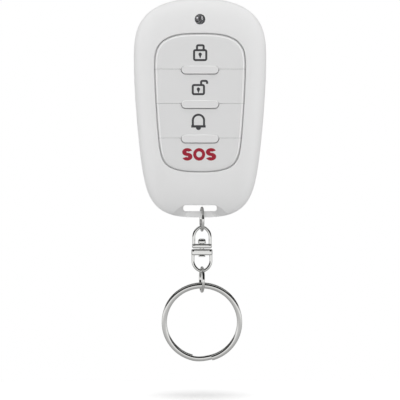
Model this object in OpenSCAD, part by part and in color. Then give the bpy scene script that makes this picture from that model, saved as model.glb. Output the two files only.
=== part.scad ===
// Alarm key fob: an egg-shaped two-shell body with four keys, a status light and a coin cell,
// and a swivel chain with a split key ring that hangs from a bar at its lower end.
// Millimetres. +Z is up, the front faces -Y, and the origin is on the flat back at mid-length.

/* [Body] */
// Overall width of the body
body_w = 41; // [40:0.5:46]
// Height of the body above its widest line
body_up = 19.9; // [19.5:0.1:22]
// Height of the body below its widest line
body_down = 47.9; // [47:0.1:50]
// Thickness from the flat back to the front face
body_t = 13; // [13:0.1:15]
// Wall of both shells
wall = 1.6; // [1.3:0.1:1.8]
// Depth of the joint between the shells, measured from the back
part_line = 6; // [6:0.1:6.5]
// Width of the straight band round the joint
band_h = 3; // [2.4:0.1:3.2]
// Width of the rounded edge at the front, at the widest line
front_roll_w = 6.5; // [6:0.1:7]
// Width of the rounded edge at the back, at the widest line
back_roll_w = 4.5; // [4:0.1:5]
// Height of the locating lip on the rear shell
lip_h = 0.8; // [0.5:0.1:1]
// Thickness of the locating lip
lip_t = 0.6; // [0.4:0.1:0.7]

/* [Keys] */
// Width of the key window at its widest line
window_w = 28.3; // [26:0.1:28.6]
// Height of the window above its widest line
window_up = 10.1; // [9.5:0.1:11]
// Height of the window below its widest line
window_down = 32.9; // [32:0.1:34]
// Distance from the top of the body down to the window
window_drop = 10.85; // [10.5:0.1:11.5]
// Height of the top key
first_key_h = 11.1; // [10.5:0.1:11.5]
// Height of each key below it
key_pitch = 10.65; // [10.4:0.05:10.9]
// Gap round the keys in their window
key_gap = 0.3; // [0.2:0.05:0.4]
// Gap between one key and the next
divide_gap = 0.2; // [0.15:0.05:0.3]
// How far a key moves when it is pressed
key_travel = 0.4; // [0.3:0.05:0.5]
// Depth of the key faces below the front face
key_sink = 0.05; // [0:0.05:0.3]
// Thickness of the rim that holds a key in the shell
rim_t = 0.7; // [0.5:0.1:0.9]
// How far the rim reaches past the key
rim_w = 0.9; // [0.6:0.1:1.1]
// Gap between the rim and the shell above it
rim_gap = 0.4; // [0.35:0.05:0.6]
// Width of a finger ridge
ridge_w = 11.8; // [10:0.1:13]
// Height of a finger ridge
ridge_h = 2.6; // [2:0.1:3]
// How far a finger ridge stands out of its key
ridge_rise = 0.5; // [0.3:0.1:0.8]

/* [Light] */
// Diameter of the status light
led_d = 3; // [2.8:0.1:3.2]
// Gap between the light and its hole
led_gap = 0.15; // [0.1:0.05:0.3]
// Distance from the top of the body down to the light
led_drop = 6.55; // [6.2:0.05:6.8]
// Height of the light above its collar
led_h = 4; // [3.6:0.1:4.2]
// Thickness of the light's collar
led_collar_t = 0.8; // [0.6:0.1:1]
// Distance between the two leads
led_pitch = 2.54; // [2.4:0.02:2.6]

/* [Board] */
// Thickness of the circuit board
board_t = 1.2; // [1:0.1:1.2]
// Gap between the board and the walls
board_gap = 0.4; // [0.3:0.1:0.8]
// Width of a switch
switch_w = 5.2; // [4.5:0.1:6]
// Height of a switch base
switch_h = 1.2; // [1.1:0.1:1.3]
// Thickness of the steel cover of a switch
cover_t = 0.3; // [0.2:0.05:0.4]
// Diameter of a switch plunger
plunger_d = 2.5; // [2:0.1:3]
// How far a plunger stands out of its cover
plunger_rise = 0.7; // [0.6:0.05:0.8]
// Sliding clearance round a plunger
plunger_gap = 0.08; // [0.05:0.01:0.1]

/* [Battery] */
// Diameter of the coin cell
cell_d = 20; // [20:0.1:20.4]
// Thickness of the coin cell
cell_t = 3.2; // [3:0.1:3.3]
// Distance of the cell and its cap above the origin
cell_up = 6; // [5:0.1:7]
// Thickness of the cap's plate
cap_t = 1.2; // [1:0.1:1.3]
// Depth of the cap below the back face
cap_sink = 0.2; // [0.1:0.05:0.3]
// Wall of the cap's skirt
skirt_t = 0.7; // [0.6:0.1:0.9]
// Running clearance round the cap, its skirt and its lugs
cap_gap = 0.2; // [0.15:0.05:0.3]
// How far a lug reaches under the ledge
lug_reach = 1; // [0.8:0.1:1.2]
// Thickness of a lug
lug_t = 0.7; // [0.6:0.1:0.8]
// Thickness of the ledge that the lugs catch
ledge_t = 0.8; // [0.6:0.1:0.9]
// Angle of one lug
lug_angle = 24; // [20:1:28]
// Angle through which the cap turns to open
cap_turn = 40; // [36:1:44]
// Number of lugs
lug_count = 3; // [2:1:3]
// Width of the coin groove
groove_w = 1.8; // [1.5:0.1:2.2]

/* [Screws] */
// Diameter of a screw's shank
screw_d = 1.6; // [1.4:0.1:1.8]
// Diameter of a screw's head
screw_head_d = 3.4; // [3:0.1:3.6]
// Height of a screw's head
screw_head_h = 1.2; // [1:0.1:1.4]
// Length of a screw below its head
screw_l = 7; // [6.5:0.1:7.2]
// Distance of the upper screws from the side of the body
screw_inset = 7.3; // [7.1:0.1:7.5]
// Distance from the top of the body down to the upper screws
screw_drop = 9.6; // [9.4:0.1:9.7]
// Height of the lower screw above the slot
screw_rise = 5.8; // [5.6:0.1:6]
// Depth of the seat under a screw's head
screw_seat = 2.2; // [2:0.1:2.4]
// Wall of the posts that take the screws
boss_wall = 1.4; // [1.2:0.1:1.5]
// Wall round a screw's head
seat_wall = 1; // [0.8:0.1:1.1]

/* [Lanyard bar] */
// Length of the slot
slot_w = 10.4; // [9:0.1:11]
// Height of the slot
slot_h = 2.05; // [2.05:0.05:2.2]
// Height of the bar below the slot
bar_h = 1.85; // [1.7:0.05:1.9]
// Thickness of the bar
bar_t = 2.2; // [2:0.1:2.3]
// Distance of the bar from the back
bar_back = 3.3; // [3.2:0.1:3.5]
// Thickness of the wall above the slot
tip_wall = 1.7; // [1.5:0.1:2]
// Radius of the scoop round the bar
scoop_r = 11.5; // [11:0.1:12]
// How far the centre of the scoop lies below the body
scoop_drop = 6.6; // [6.2:0.1:7]

/* [Chain] */
// Outer diameter of the upper jump ring
upper_ring_d = 7.8; // [7.6:0.1:8]
// Outer diameter of the lower jump ring
lower_ring_d = 8.2; // [8:0.1:9]
// Wire of the jump rings
ring_wire = 0.85; // [0.8:0.05:0.9]
// Clearance between linked pieces
link_gap = 0.15; // [0.12:0.01:0.2]
// Place of the chain along the bar
chain_x = 0.6; // [-1:0.1:1]
// Turn of the upper jump ring from edge-on
upper_yaw = 12; // [0:1:15]
// Turn of the lower jump ring from edge-on
lower_yaw = 8; // [0:1:12]
// Wire of the yokes
yoke_wire = 0.95; // [0.85:0.05:1]
// Outer width of the upper yoke
upper_yoke_w = 6.05; // [5.8:0.05:6.4]
// Outer width of the lower yoke
lower_yoke_w = 6.5; // [6.2:0.05:6.8]
// Height of the upper yoke
upper_yoke_h = 7.1; // [7:0.1:7.6]
// Height of the lower yoke
lower_yoke_h = 7.3; // [7.2:0.1:8]
// Radius of a yoke's crown, at the middle of the wire
crown_r = 1.3; // [1.1:0.05:1.4]
// Radius of a yoke's shoulders, at the middle of the wire
shoulder_r = 3.3; // [3.25:0.05:3.6]
// Height of the upper yoke's crossbar
upper_bar_h = 1.4; // [1.2:0.1:1.5]
// Height of the lower yoke's crossbar
lower_bar_h = 1.9; // [1.6:0.1:2]
// Depth of both crossbars, front to back
cross_d = 2; // [1.8:0.1:2.2]
// Gap between the two crossbars
swivel_gap = 0.25; // [0.2:0.05:0.4]
// Diameter of the swivel pin
pin_d = 1.3; // [1.1:0.1:1.4]
// Diameter of the pin's head
pin_head_d = 2.45; // [2.2:0.05:2.6]
// Height of the pin's head
pin_head_h = 1.5; // [1.2:0.1:1.6]
// Running clearance round the pin
pin_gap = 0.07; // [0.05:0.01:0.1]

/* [Key ring] */
// Outer diameter of the key ring
key_ring_d = 25; // [22:0.5:30]
// Wire of the key ring, across the ring
coil_w = 1.6; // [1.4:0.1:1.8]
// Wire of the key ring, along its axis
coil_t = 1; // [0.8:0.1:1.2]
// Gap between the two turns
coil_gap = 0.5; // [0.45:0.05:0.6]
// Lean of the hanging key ring, its lower end going back
ring_lean = 12; // [0:1:14]

/* [Hidden] */
$fn = 48;
eps = 0.01;

// The egg outlines, as roundness above, squareness above, roundness below, squareness below,
// taper and taper power
BODY_EGG = [2.3, 3.3, 2.9, 10.8, 0.225, 1.6];
WINDOW_EGG = [2.96, 3, 2.57, 15.9, 0.162, 1.62];
UP_STEPS = 12;
DOWN_STEPS = 16;
ROLL_STEPS = 6;

body_top = (body_up + body_down) / 2;
body_bottom = body_top - body_up - body_down;
wide_z = body_top - body_up;
front_flat = 1 - 2 * front_roll_w / body_w;
back_flat = 1 - 2 * back_roll_w / body_w;
back_roll = part_line - band_h / 2;
front_base = part_line + band_h / 2;
front_roll = body_t - front_base;

// The lanyard bar and the cavity that ends above it
slot_bottom = body_bottom + bar_h;
slot_top = slot_bottom + slot_h;
bar_front = bar_back + bar_t;
cavity_a = body_w / 2 - wall;
cavity_up = body_up - wall;
cavity_down = wide_z - slot_top - tip_wall;

// The keys, counted from the top
KEY_COUNT = 4;
window_top = body_top - window_drop;
window_wide = window_top - window_up;
window_bottom = window_wide - window_down;
key_front = body_t - key_sink;
rim_top = body_t - wall - rim_gap;
rim_bottom = rim_top - rim_t;
post_d = 3;
post_gap = 0.05;
face_gap = 0.1;
lip_inset = 0.15;

// The board and the switches, as distances from the back
board_back = part_line;
board_front = board_back + board_t;
switch_top = board_front + switch_h + cover_t;
plunger_tip = switch_top + plunger_rise;
plunger_lip = 0.35;
plunger_collar_d = plunger_d + 2 * plunger_lip;
plunger_collar_t = 0.3;
plunger_foot = board_front + switch_h - face_gap - plunger_collar_t;

// The light and its seat
led_z = body_top - led_drop;
led_sink = 0.08;
led_tip = roll_height(led_z / body_top, front_flat, front_base, front_roll) - led_sink;
led_collar = led_tip - led_h;
led_lip = 0.3;
lead_w = 0.5;
lead_hole_d = 0.9;
lead_tail = 0.8;

// The battery cap, its ledge and the cell behind it
holder_gap = 0.2;
holder_t = 1.4;
lug_room = 0.4;
cap_cover = 0.4;
ledge_back = cap_sink + cap_t + face_gap;
ledge_front = ledge_back + ledge_t;
lug_back = ledge_front + face_gap;
lug_front = lug_back + lug_t;
cell_back = cap_sink + cap_t + face_gap;
cell_front = cell_back + cell_t;
skirt_r = cell_d / 2 + holder_gap + skirt_t;
ledge_r = skirt_r + cap_gap;
lug_r = ledge_r + lug_reach;
cap_r = lug_r + cap_cover;
cap_hole_r = cap_r + cap_gap;
well_r = lug_r + 2 * cap_gap;
well_wall_r = well_r + wall;
well_front = lug_front + lug_room;
holder_back = well_front + cap_gap;
notch_play = 2;
groove_depth = 0.7;
contact_t = 0.25;

// The screws and what they hold
screw_x = body_w / 2 - screw_inset;
screw_up = body_top - screw_drop;
SCREWS = [[-screw_x, screw_up], [screw_x, screw_up], [0, slot_top + screw_rise]];
thread_gap = 0.05;
pilot_room = 0.4;
head_gap = 0.2;
boss_r = screw_d / 2 + boss_wall;
seat_r = screw_head_d / 2 + seat_wall;
pilot_end = screw_seat + screw_l + pilot_room;

// The posts under the board and the posts that hold it down
rest_r = 1.2;
side_inset = 2.6;
low_inset = 6.7;
hold_z = 9;
low_z = -17;
side_x = cavity_a - side_inset;
low_x = cavity_a - low_inset;
RESTS = [[-side_x, 0], [side_x, 0], [-low_x, low_z], [low_x, low_z]];
HOLDS = [[-side_x, hold_z], [side_x, hold_z]];

// Places and sizes of the parts on the board
CHIP = [[8.6, 1], [5, 8.6, 1.5]];
RESONATOR = [[-8.6, -9], [5, 5, 1.4]];
CRYSTAL = [[8.6, -9], [3.2, 5, 1.1]];
SMALL_PART = [2, 1.25, 0.6];
small_pitch = [2.6, 3];
small_start = [-9.8, -3];
antenna_w = 1.2;
antenna_t = 0.4;
antenna_half = 9.5;
antenna_h = 5.7;
antenna_gap = 0.8;
antenna_bottom = key_z(KEY_COUNT - 1) - switch_w / 2 - antenna_gap - antenna_w;

// The chain, from the bar down
chain_y = -(bar_back + bar_t / 2);
bar_z = body_bottom + bar_h / 2;
upper_mean_r = (upper_ring_d - ring_wire) / 2;
lower_mean_r = (lower_ring_d - ring_wire) / 2;
upper_ring_z = bar_z - (upper_mean_r - ring_wire / 2 - link_gap - norm([bar_t / 2, bar_h / 2]));
upper_link_z = upper_ring_z - upper_mean_r;
upper_crown_z = upper_link_z + (ring_wire + yoke_wire) / 2 + link_gap;
upper_bar_z = upper_crown_z + yoke_wire / 2 - upper_yoke_h;
lower_bar_z = upper_bar_z - swivel_gap;
lower_crown_z = lower_bar_z - lower_yoke_h + yoke_wire / 2;
lower_ring_z = lower_crown_z + (ring_wire + yoke_wire) / 2 + link_gap - lower_mean_r;
lower_link_z = lower_ring_z - lower_mean_r;
split_angle = 359;
seam = 0.02;
seam_l = 0.2;
cross_over = 0.06;
pin_play = 0.1;
peen_lip = 0.4;
peen_d = pin_d + 2 * peen_lip;
peen_h = 0.5;
peen_gap = 0.02;

// The key ring: two turns of one wire, with the step from one to the other at the bottom
TURN_STEPS = 24;
JOGGLE_STEPS = 2;
coil_pitch = coil_t + coil_gap;
coil_r = (key_ring_d - coil_w) / 2;
coil_half = (coil_pitch + coil_t) / 2;
eye_r = lower_mean_r - ring_wire / 2;
saddle = eye_r - sqrt(eye_r * eye_r - coil_half * coil_half) + coil_half * sin(ring_lean) + link_gap;
ring_pivot_z = lower_link_z + ring_wire / 2 + saddle;

// Height of a rounded edge at share s of the outline, which is flat up to share flat
function roll_height(s, flat, base, rise) =
    base + rise * sqrt(1 - pow(max(0, (s - flat) / (1 - flat)), 2));

// Right-hand points of an egg outline, from its lower tip to its upper tip
function egg_right(a, up, down, egg) = concat(
    [for (i = [0:DOWN_STEPS - 1])
        let (t = 1 - pow(i / DOWN_STEPS, egg[2]))
        [a * (1 - egg[4] * pow(t, egg[5])) * pow(1 - pow(t, egg[3]), 1 / egg[2]), -down * t]],
    [for (i = [0:UP_STEPS])
        let (t = 1 - pow(1 - i / UP_STEPS, egg[0]))
        [a * pow(1 - pow(t, egg[1]), 1 / egg[0]), up * t]]);

// A whole egg outline, counter-clockwise, with its widest line at height z
function egg_points(a, up, down, z, egg) =
    let (right = egg_right(a, up, down, egg))
    concat([for (p = right) [p[0], p[1] + z]],
           [for (i = [len(right) - 2:-1:1]) [-right[i][0], right[i][1] + z]]);

// Faces of a stack of rings that each have n points, with the two ends closed
function loft_faces(n, rings) = concat(
    [[for (i = [0:n - 1]) i]],
    [for (k = [0:rings - 2], i = [0:n - 1])
        let (a = k * n + i, b = k * n + (i + 1) % n)
        each [[a, a + n, b + n], [a, b + n, b]]],
    [[for (i = [n - 1:-1:0]) (rings - 1) * n + i]]);

module loft(rings) {
    polyhedron(points = [for (ring = rings) each ring], faces = loft_faces(len(rings[0]), len(rings)));
}

function ring_at(points, s, z) = [for (p = points) [p[0] * s, p[1] * s, z]];

// Turns a shape drawn on its back, with depth from the back as height, to stand upright
module stand() {
    rotate([90, 0, 0]) children();
}

module body_egg(grow) {
    polygon(egg_points(cavity_a + grow, cavity_up + grow, cavity_down + grow, wide_z, BODY_EGG));
}

module window_egg(grow) {
    polygon(egg_points(window_w / 2 + grow, window_up + grow, window_down + grow, window_wide, WINDOW_EGG));
}

// The front half of an egg body: a straight band and a rounded edge up to a flat face
module front_form(points, start, top) {
    loft(concat(
        [ring_at(points, 1, start), ring_at(points, 1, front_base)],
        [for (i = [1:ROLL_STEPS])
            let (angle = 90 * i / ROLL_STEPS)
            let (share = front_flat + (1 - front_flat) * cos(angle))
            ring_at(points, share, front_base + (top - front_base) * sin(angle))]));
}

// The back half of an egg body, from the flat face to the band
module back_form(points, bottom, end) {
    loft(concat(
        [for (i = [ROLL_STEPS:-1:1])
            let (angle = 90 * i / ROLL_STEPS)
            let (share = back_flat + (1 - back_flat) * cos(angle))
            ring_at(points, share, back_roll - (back_roll - bottom) * sin(angle))],
        [ring_at(points, 1, back_roll), ring_at(points, 1, end)]));
}

function outer_points() = egg_points(body_w / 2, body_up, body_down, wide_z, BODY_EGG);
function cavity_points() = egg_points(cavity_a, cavity_up, cavity_down, wide_z, BODY_EGG);

// A level bar with round ends
module pill(w, h) {
    square([w - h, h], center = true);
    for (side = [-1, 1]) translate([side * (w - h) / 2, 0]) circle(d = h);
}

// The scoop that bares the bar, level with the top of the slot
module scoop() {
    intersection() {
        translate([0, body_bottom - scoop_drop]) circle(r = scoop_r);
        translate([-scoop_r, slot_top - 2 * scoop_r]) square(2 * scoop_r);
    }
}

module at_screws() {
    for (place = SCREWS) translate(place) children();
}

module at_cell() {
    translate([0, cell_up]) children();
}

module front_shell() {
    color("gainsboro") stand() difference() {
        front_form(outer_points(), part_line, body_t);
        difference() {
            front_form(cavity_points(), part_line - eps, body_t - wall);
            at_screws() cylinder(r = boss_r, h = body_t);
            for (place = HOLDS) translate([place[0], place[1], board_front]) cylinder(r = rest_r, h = body_t);
        }
        at_screws() translate([0, 0, part_line - eps])
            cylinder(d = screw_d + 2 * thread_gap, h = pilot_end - part_line);
        translate([0, 0, part_line - eps]) linear_extrude(lip_h + face_gap) difference() {
            body_egg(lip_inset + lip_t + face_gap);
            body_egg(-face_gap);
        }
        translate([0, 0, rim_top]) linear_extrude(body_t) window_egg(0);
        translate([0, led_z, front_base]) cylinder(d = led_d + 2 * led_gap, h = body_t);
        translate([0, 0, part_line - eps]) linear_extrude(body_t) scoop();
    }
}

module rear_shell() {
    color("gainsboro") stand() difference() {
        union() {
            difference() {
                back_form(outer_points(), 0, part_line);
                difference() {
                    back_form(cavity_points(), wall, part_line + eps);
                    at_screws() cylinder(r = seat_r, h = body_t);
                    at_cell() cylinder(r = well_wall_r, h = well_front);
                    for (place = RESTS) translate(place) cylinder(r = rest_r, h = body_t);
                }
            }
            translate([0, 0, part_line - lip_h]) linear_extrude(2 * lip_h) difference() {
                body_egg(lip_inset + lip_t);
                body_egg(lip_inset);
            }
        }
        at_cell() {
            translate([0, 0, -eps]) cylinder(r = cap_hole_r, h = ledge_back + eps);
            cylinder(r = ledge_r, h = well_front + eps);
            translate([0, 0, ledge_front]) cylinder(r = well_r, h = well_front);
            for (i = [0:lug_count - 1]) rotate([0, 0, i * 360 / lug_count - cap_turn])
                translate([0, 0, ledge_back - eps]) linear_extrude(ledge_t + 2 * eps)
                    notch(lug_angle + 2 * notch_play);
        }
        at_screws() {
            translate([0, 0, -eps]) cylinder(d = screw_head_d + 2 * head_gap, h = screw_seat + eps);
            cylinder(d = screw_d + 2 * head_gap, h = body_t);
        }
        translate([0, slot_bottom + slot_h / 2, -eps]) linear_extrude(body_t) pill(slot_w, slot_h);
        translate([0, 0, -eps]) linear_extrude(bar_back + eps) scoop();
        translate([0, 0, bar_front]) linear_extrude(body_t) scoop();
    }
}

// The gap in the ledge that lets a lug in
module notch(angle) {
    reach = lug_r + cap_gap;
    edge = 2 * reach * [cos(angle / 2), sin(angle / 2)];
    intersection() {
        circle(r = reach);
        polygon([[0, 0], [edge[0], -edge[1]], edge]);
    }
}

// Height of the line below key i, where 0 is the top key
function divide_z(i) = window_top - first_key_h - i * key_pitch;

// The middle of key i, over its switch
function key_z(i) = let (top = i == 0 ? window_top : divide_z(i - 1))
    let (bottom = i == KEY_COUNT - 1 ? window_bottom : divide_z(i))
    (top + bottom) / 2;

// The outline of key i within an egg that is grown past the window
module key_outline(i, grow) {
    top = i == 0 ? body_top : divide_z(i - 1) - divide_gap / 2;
    bottom = i == KEY_COUNT - 1 ? body_bottom : divide_z(i) + divide_gap / 2;
    difference() {
        intersection() {
            window_egg(grow);
            translate([-body_w / 2, bottom]) square([body_w, top - bottom]);
        }
        if (i > 0) translate([0, divide_z(i - 1)]) pill(ridge_w + 2 * divide_gap, ridge_h + 2 * divide_gap);
    }
    if (i < KEY_COUNT - 1) translate([0, divide_z(i)]) pill(ridge_w, ridge_h);
}

module key_cap(i) {
    color("whitesmoke") stand() {
        translate([0, 0, rim_bottom]) linear_extrude(key_front - rim_bottom) key_outline(i, -key_gap);
        translate([0, 0, rim_bottom]) linear_extrude(rim_t) key_outline(i, rim_w - key_gap);
        if (i < KEY_COUNT - 1) translate([0, divide_z(i), rim_bottom])
            linear_extrude(key_front + ridge_rise - rim_bottom) pill(ridge_w, ridge_h);
        translate([0, key_z(i), plunger_tip + post_gap])
            cylinder(d = post_d, h = rim_top - plunger_tip - post_gap);
    }
}

module plunger(i) {
    color("dimgray") stand() translate([0, key_z(i), plunger_foot]) {
        cylinder(d = plunger_d, h = plunger_tip - plunger_foot);
        cylinder(d = plunger_collar_d, h = plunger_collar_t);
    }
}

module arm_key() { key_cap(0); }
module disarm_key() { key_cap(1); }
module bell_key() { key_cap(2); }
module sos_key() { key_cap(3); }
module arm_plunger() { plunger(0); }
module disarm_plunger() { plunger(1); }
module bell_plunger() { plunger(2); }
module sos_plunger() { plunger(3); }

module circuit_board() {
    color("seagreen") stand() translate([0, 0, board_back]) difference() {
        linear_extrude(board_t) body_egg(-board_gap);
        at_screws() translate([0, 0, -eps]) cylinder(r = seat_r + board_gap, h = board_t + 2 * eps);
        for (side = [-1, 1]) translate([side * led_pitch / 2, led_z, -eps])
            cylinder(d = lead_hole_d, h = board_t + 2 * eps);
    }
}

module at_switches() {
    for (i = [0:KEY_COUNT - 1]) translate([0, key_z(i), board_front]) children();
}

module switch_bases() {
    color("black") stand() at_switches() difference() {
        translate([-switch_w / 2, -switch_w / 2, 0]) cube([switch_w, switch_w, switch_h]);
        translate([0, 0, plunger_foot - board_front - key_travel - face_gap])
            cylinder(d = plunger_collar_d + 2 * plunger_gap, h = switch_h);
    }
}

module switch_covers() {
    color("silver") stand() at_switches() translate([0, 0, switch_h]) difference() {
        translate([-switch_w / 2, -switch_w / 2, 0]) cube([switch_w, switch_w, cover_t]);
        translate([0, 0, -eps]) cylinder(d = plunger_d + 2 * plunger_gap, h = cover_t + 2 * eps);
    }
}

module status_led() {
    color("dimgray") stand() translate([0, led_z, led_collar]) rotate_extrude() {
        square([led_d / 2, led_h - led_d / 2]);
        square([led_d / 2 + led_lip, led_collar_t]);
        intersection() {
            translate([0, led_h - led_d / 2]) circle(d = led_d);
            translate([0, led_h - led_d / 2 - eps]) square(led_d);
        }
    }
}

module led_leads() {
    color("silver") stand() for (side = [-1, 1])
        translate([side * led_pitch / 2 - lead_w / 2, led_z - lead_w / 2, board_back - lead_tail])
            cube([lead_w, lead_w, led_collar - board_back + lead_tail]);
}

// A block on the front of the board, centred at a place
module on_board(place, size) {
    translate([place[0] - size[0] / 2, place[1] - size[1] / 2, board_front]) cube(size);
}

module controller_chip() {
    color("black") stand() on_board(CHIP[0], CHIP[1]);
}

module radio_resonator() {
    color("silver") stand() on_board(RESONATOR[0], RESONATOR[1]);
}

module crystal() {
    color("silver") stand() on_board(CRYSTAL[0], CRYSTAL[1]);
}

module chip_parts() {
    color("tan") stand() for (column = [0:1], row = [0:3])
        on_board(small_start + [column * small_pitch[0], row * small_pitch[1]], SMALL_PART);
}

module loop_antenna() {
    inner = antenna_half - antenna_w;
    color("goldenrod") stand() translate([0, antenna_bottom, board_front])
        linear_extrude(antenna_t) difference() {
            translate([-antenna_half, 0]) square([2 * antenna_half, antenna_h]);
            translate([-inner, antenna_w]) square([2 * inner, antenna_h]);
        }
}

module battery_holder() {
    inner = cell_d / 2 + holder_gap;
    gap_w = 5;
    depth = board_back - holder_back;
    color("dimgray") stand() at_cell() translate([0, 0, holder_back]) linear_extrude(depth) difference() {
        circle(r = inner + holder_t);
        circle(r = inner);
        translate([0, -gap_w / 2]) square([2 * inner, gap_w]);
    }
}

module positive_contact() {
    strip_w = 4;
    foot = 3;
    color("silver") stand() at_cell() translate([cell_d / 2 + face_gap, -strip_w / 2, 0]) {
        translate([0, 0, holder_back]) cube([contact_t, strip_w, board_back - holder_back]);
        translate([0, 0, board_back - contact_t]) cube([foot, strip_w, contact_t]);
    }
}

module negative_contact() {
    half = 3;
    touch = cell_front + face_gap;
    base = board_back - contact_t;
    tip = 1;
    bend = half - tip;
    color("silver") stand() at_cell() rotate([90, 0, 90]) translate([0, 0, -half])
        linear_extrude(2 * half) polygon([
            [-half, board_back], [-half, base], [bend, touch], [half, touch], [half, touch + contact_t],
            [bend, touch + contact_t], [tip - bend, base], [half, base], [half, board_back]]);
}

module coin_cell() {
    rim = 0.9;
    step = 0.3;
    color("silver") stand() at_cell() translate([0, 0, cell_back]) {
        cylinder(d = cell_d, h = cell_t - step);
        cylinder(d = cell_d - 2 * rim, h = cell_t);
    }
}

module battery_cap() {
    groove_end = 2;
    color("gainsboro") stand() at_cell() difference() {
        union() {
            translate([0, 0, cap_sink]) cylinder(r = cap_r, h = cap_t);
            difference() {
                translate([0, 0, cap_sink]) cylinder(r = skirt_r, h = lug_front - cap_sink);
                translate([0, 0, cap_sink + cap_t]) cylinder(r = skirt_r - skirt_t, h = body_t);
            }
            for (i = [0:lug_count - 1]) rotate([0, 0, i * 360 / lug_count])
                translate([0, 0, lug_back]) lug();
        }
        translate([0, 0, cap_sink])
            cube([2 * (skirt_r - groove_end), groove_w, 2 * groove_depth], center = true);
    }
}

module lug() {
    rotate([0, 0, -lug_angle / 2]) rotate_extrude(angle = lug_angle)
        translate([skirt_r - skirt_t / 2, 0]) square([lug_r - skirt_r + skirt_t / 2, lug_t]);
}

module shell_screws() {
    cross_w = 0.5;
    cross_l = 0.6 * screw_head_d;
    color("gray") stand() at_screws() difference() {
        union() {
            translate([0, 0, screw_seat - screw_head_h]) cylinder(d = screw_head_d, h = screw_head_h);
            translate([0, 0, screw_seat - eps]) cylinder(d = screw_d, h = screw_l + eps);
        }
        for (turn = [0, 90]) rotate([0, 0, turn]) translate([0, 0, screw_seat - screw_head_h])
            cube([cross_l, cross_w, screw_head_h], center = true);
    }
}

module on_chain(z) {
    translate([chain_x, chain_y, z]) children();
}

// A ring of round wire in an upright plane that faces sideways, with a fine split at its side
module jump_ring(d, yaw) {
    rotate([0, 0, yaw]) rotate([0, 90, 0]) rotate([0, 0, 90 + (360 - split_angle) / 2])
        rotate_extrude(angle = split_angle)
            translate([(d - ring_wire) / 2, 0]) circle(d = ring_wire);
}

module upper_jump_ring() {
    color("silver") on_chain(upper_ring_z) jump_ring(upper_ring_d, upper_yaw);
}

module lower_jump_ring() {
    color("silver") on_chain(lower_ring_z) jump_ring(lower_ring_d, lower_yaw);
}

module wire_arc(r, start, angle) {
    rotate([90, 0, 0]) rotate([0, 0, start]) rotate_extrude(angle = angle)
        translate([r, 0]) circle(d = yoke_wire);
}

// A wire arch that ends in a crossbar, with the middle of its crown at the origin
module yoke(w, h, bar, bore_d) {
    half = (w - yoke_wire) / 2;
    spread = acos((shoulder_r - half) / (shoulder_r - crown_r));
    shoulder_z = -crown_r - (shoulder_r - crown_r) * sin(spread);
    bar_top = yoke_wire / 2 - h + bar;
    difference() {
        union() {
            translate([0, 0, -crown_r]) wire_arc(crown_r, spread, 180 - 2 * spread);
            for (side = [0, 1]) mirror([side, 0, 0]) {
                translate([half - shoulder_r, 0, shoulder_z]) wire_arc(shoulder_r, 0, spread);
                translate([crown_r * cos(spread), 0, crown_r * (sin(spread) - 1)]) rotate([0, -spread, 0])
                    cylinder(d = yoke_wire + 2 * seam, h = seam_l, center = true);
                translate([half, 0, bar_top - bar / 2])
                    cylinder(d = yoke_wire, h = shoulder_z - bar_top + bar / 2);
            }
            translate([0, 0, bar_top - bar]) linear_extrude(bar) pill(w + 2 * cross_over, cross_d);
        }
        translate([0, 0, bar_top - bar - eps]) cylinder(d = bore_d, h = bar + 2 * eps);
    }
}

module upper_yoke() {
    color("silver") on_chain(upper_crown_z)
        yoke(upper_yoke_w, upper_yoke_h, upper_bar_h, pin_d + 2 * pin_gap);
}

module lower_yoke() {
    color("silver") on_chain(lower_crown_z) rotate([0, 180, 0])
        yoke(lower_yoke_w, lower_yoke_h, lower_bar_h, pin_d + 2 * peen_gap);
}

module swivel_pin() {
    head = upper_bar_z + upper_bar_h + pin_play;
    foot = lower_bar_z - lower_bar_h - peen_gap;
    color("silver") on_chain(0) {
        translate([0, 0, head]) cylinder(d = pin_head_d, h = pin_head_h);
        translate([0, 0, foot]) cylinder(d = pin_d, h = head - foot + eps);
        translate([0, 0, foot - peen_h]) cylinder(d = peen_d, h = peen_h);
    }
}

// Cross-section of the key ring's wire, as radius and axial place
function coil_section() = [[coil_w / 2, 0], [coil_w / 4, coil_t / 2], [-coil_w / 4, coil_t / 2],
                           [-coil_w / 2, 0], [-coil_w / 4, -coil_t / 2], [coil_w / 4, -coil_t / 2]];

// Axial place of the wire at a step: one turn, the step across, then the other turn
function coil_axial(i) =
    coil_pitch * (min(1, max(0, (i - TURN_STEPS + JOGGLE_STEPS) / JOGGLE_STEPS)) - 0.5);

coil_start = 270 + 180 * JOGGLE_STEPS / TURN_STEPS;

function coil_ring(i) =
    let (angle = coil_start + 360 * i / TURN_STEPS)
    [for (p = coil_section())
        let (r = coil_r + p[0])
        [r * cos(angle), coil_axial(i) + p[1], r * sin(angle)]];

coil_rings = [for (i = [0:2 * TURN_STEPS - JOGGLE_STEPS]) coil_ring(i)];

// Least distance between points that lie more than half a turn apart along the wire
coil_least_gap = min([for (i = [0:len(coil_rings) - 1], j = [0:len(coil_rings) - 1])
    if (j - i > TURN_STEPS / 2) for (p = coil_rings[i], q = coil_rings[j]) norm(p - q)]);
echo(key_ring_least_gap = coil_least_gap);

module key_ring() {
    color("silver") on_chain(ring_pivot_z) rotate([ring_lean, 0, 0]) translate([0, 0, coil_w / 2 - coil_r])
        loft(coil_rings);
}

front_shell();
rear_shell();
arm_key();
disarm_key();
bell_key();
sos_key();
arm_plunger();
disarm_plunger();
bell_plunger();
sos_plunger();
circuit_board();
switch_bases();
switch_covers();
status_led();
led_leads();
controller_chip();
radio_resonator();
crystal();
chip_parts();
loop_antenna();
battery_holder();
positive_contact();
negative_contact();
coin_cell();
battery_cap();
shell_screws();
upper_jump_ring();
upper_yoke();
swivel_pin();
lower_yoke();
lower_jump_ring();
key_ring();
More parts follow.
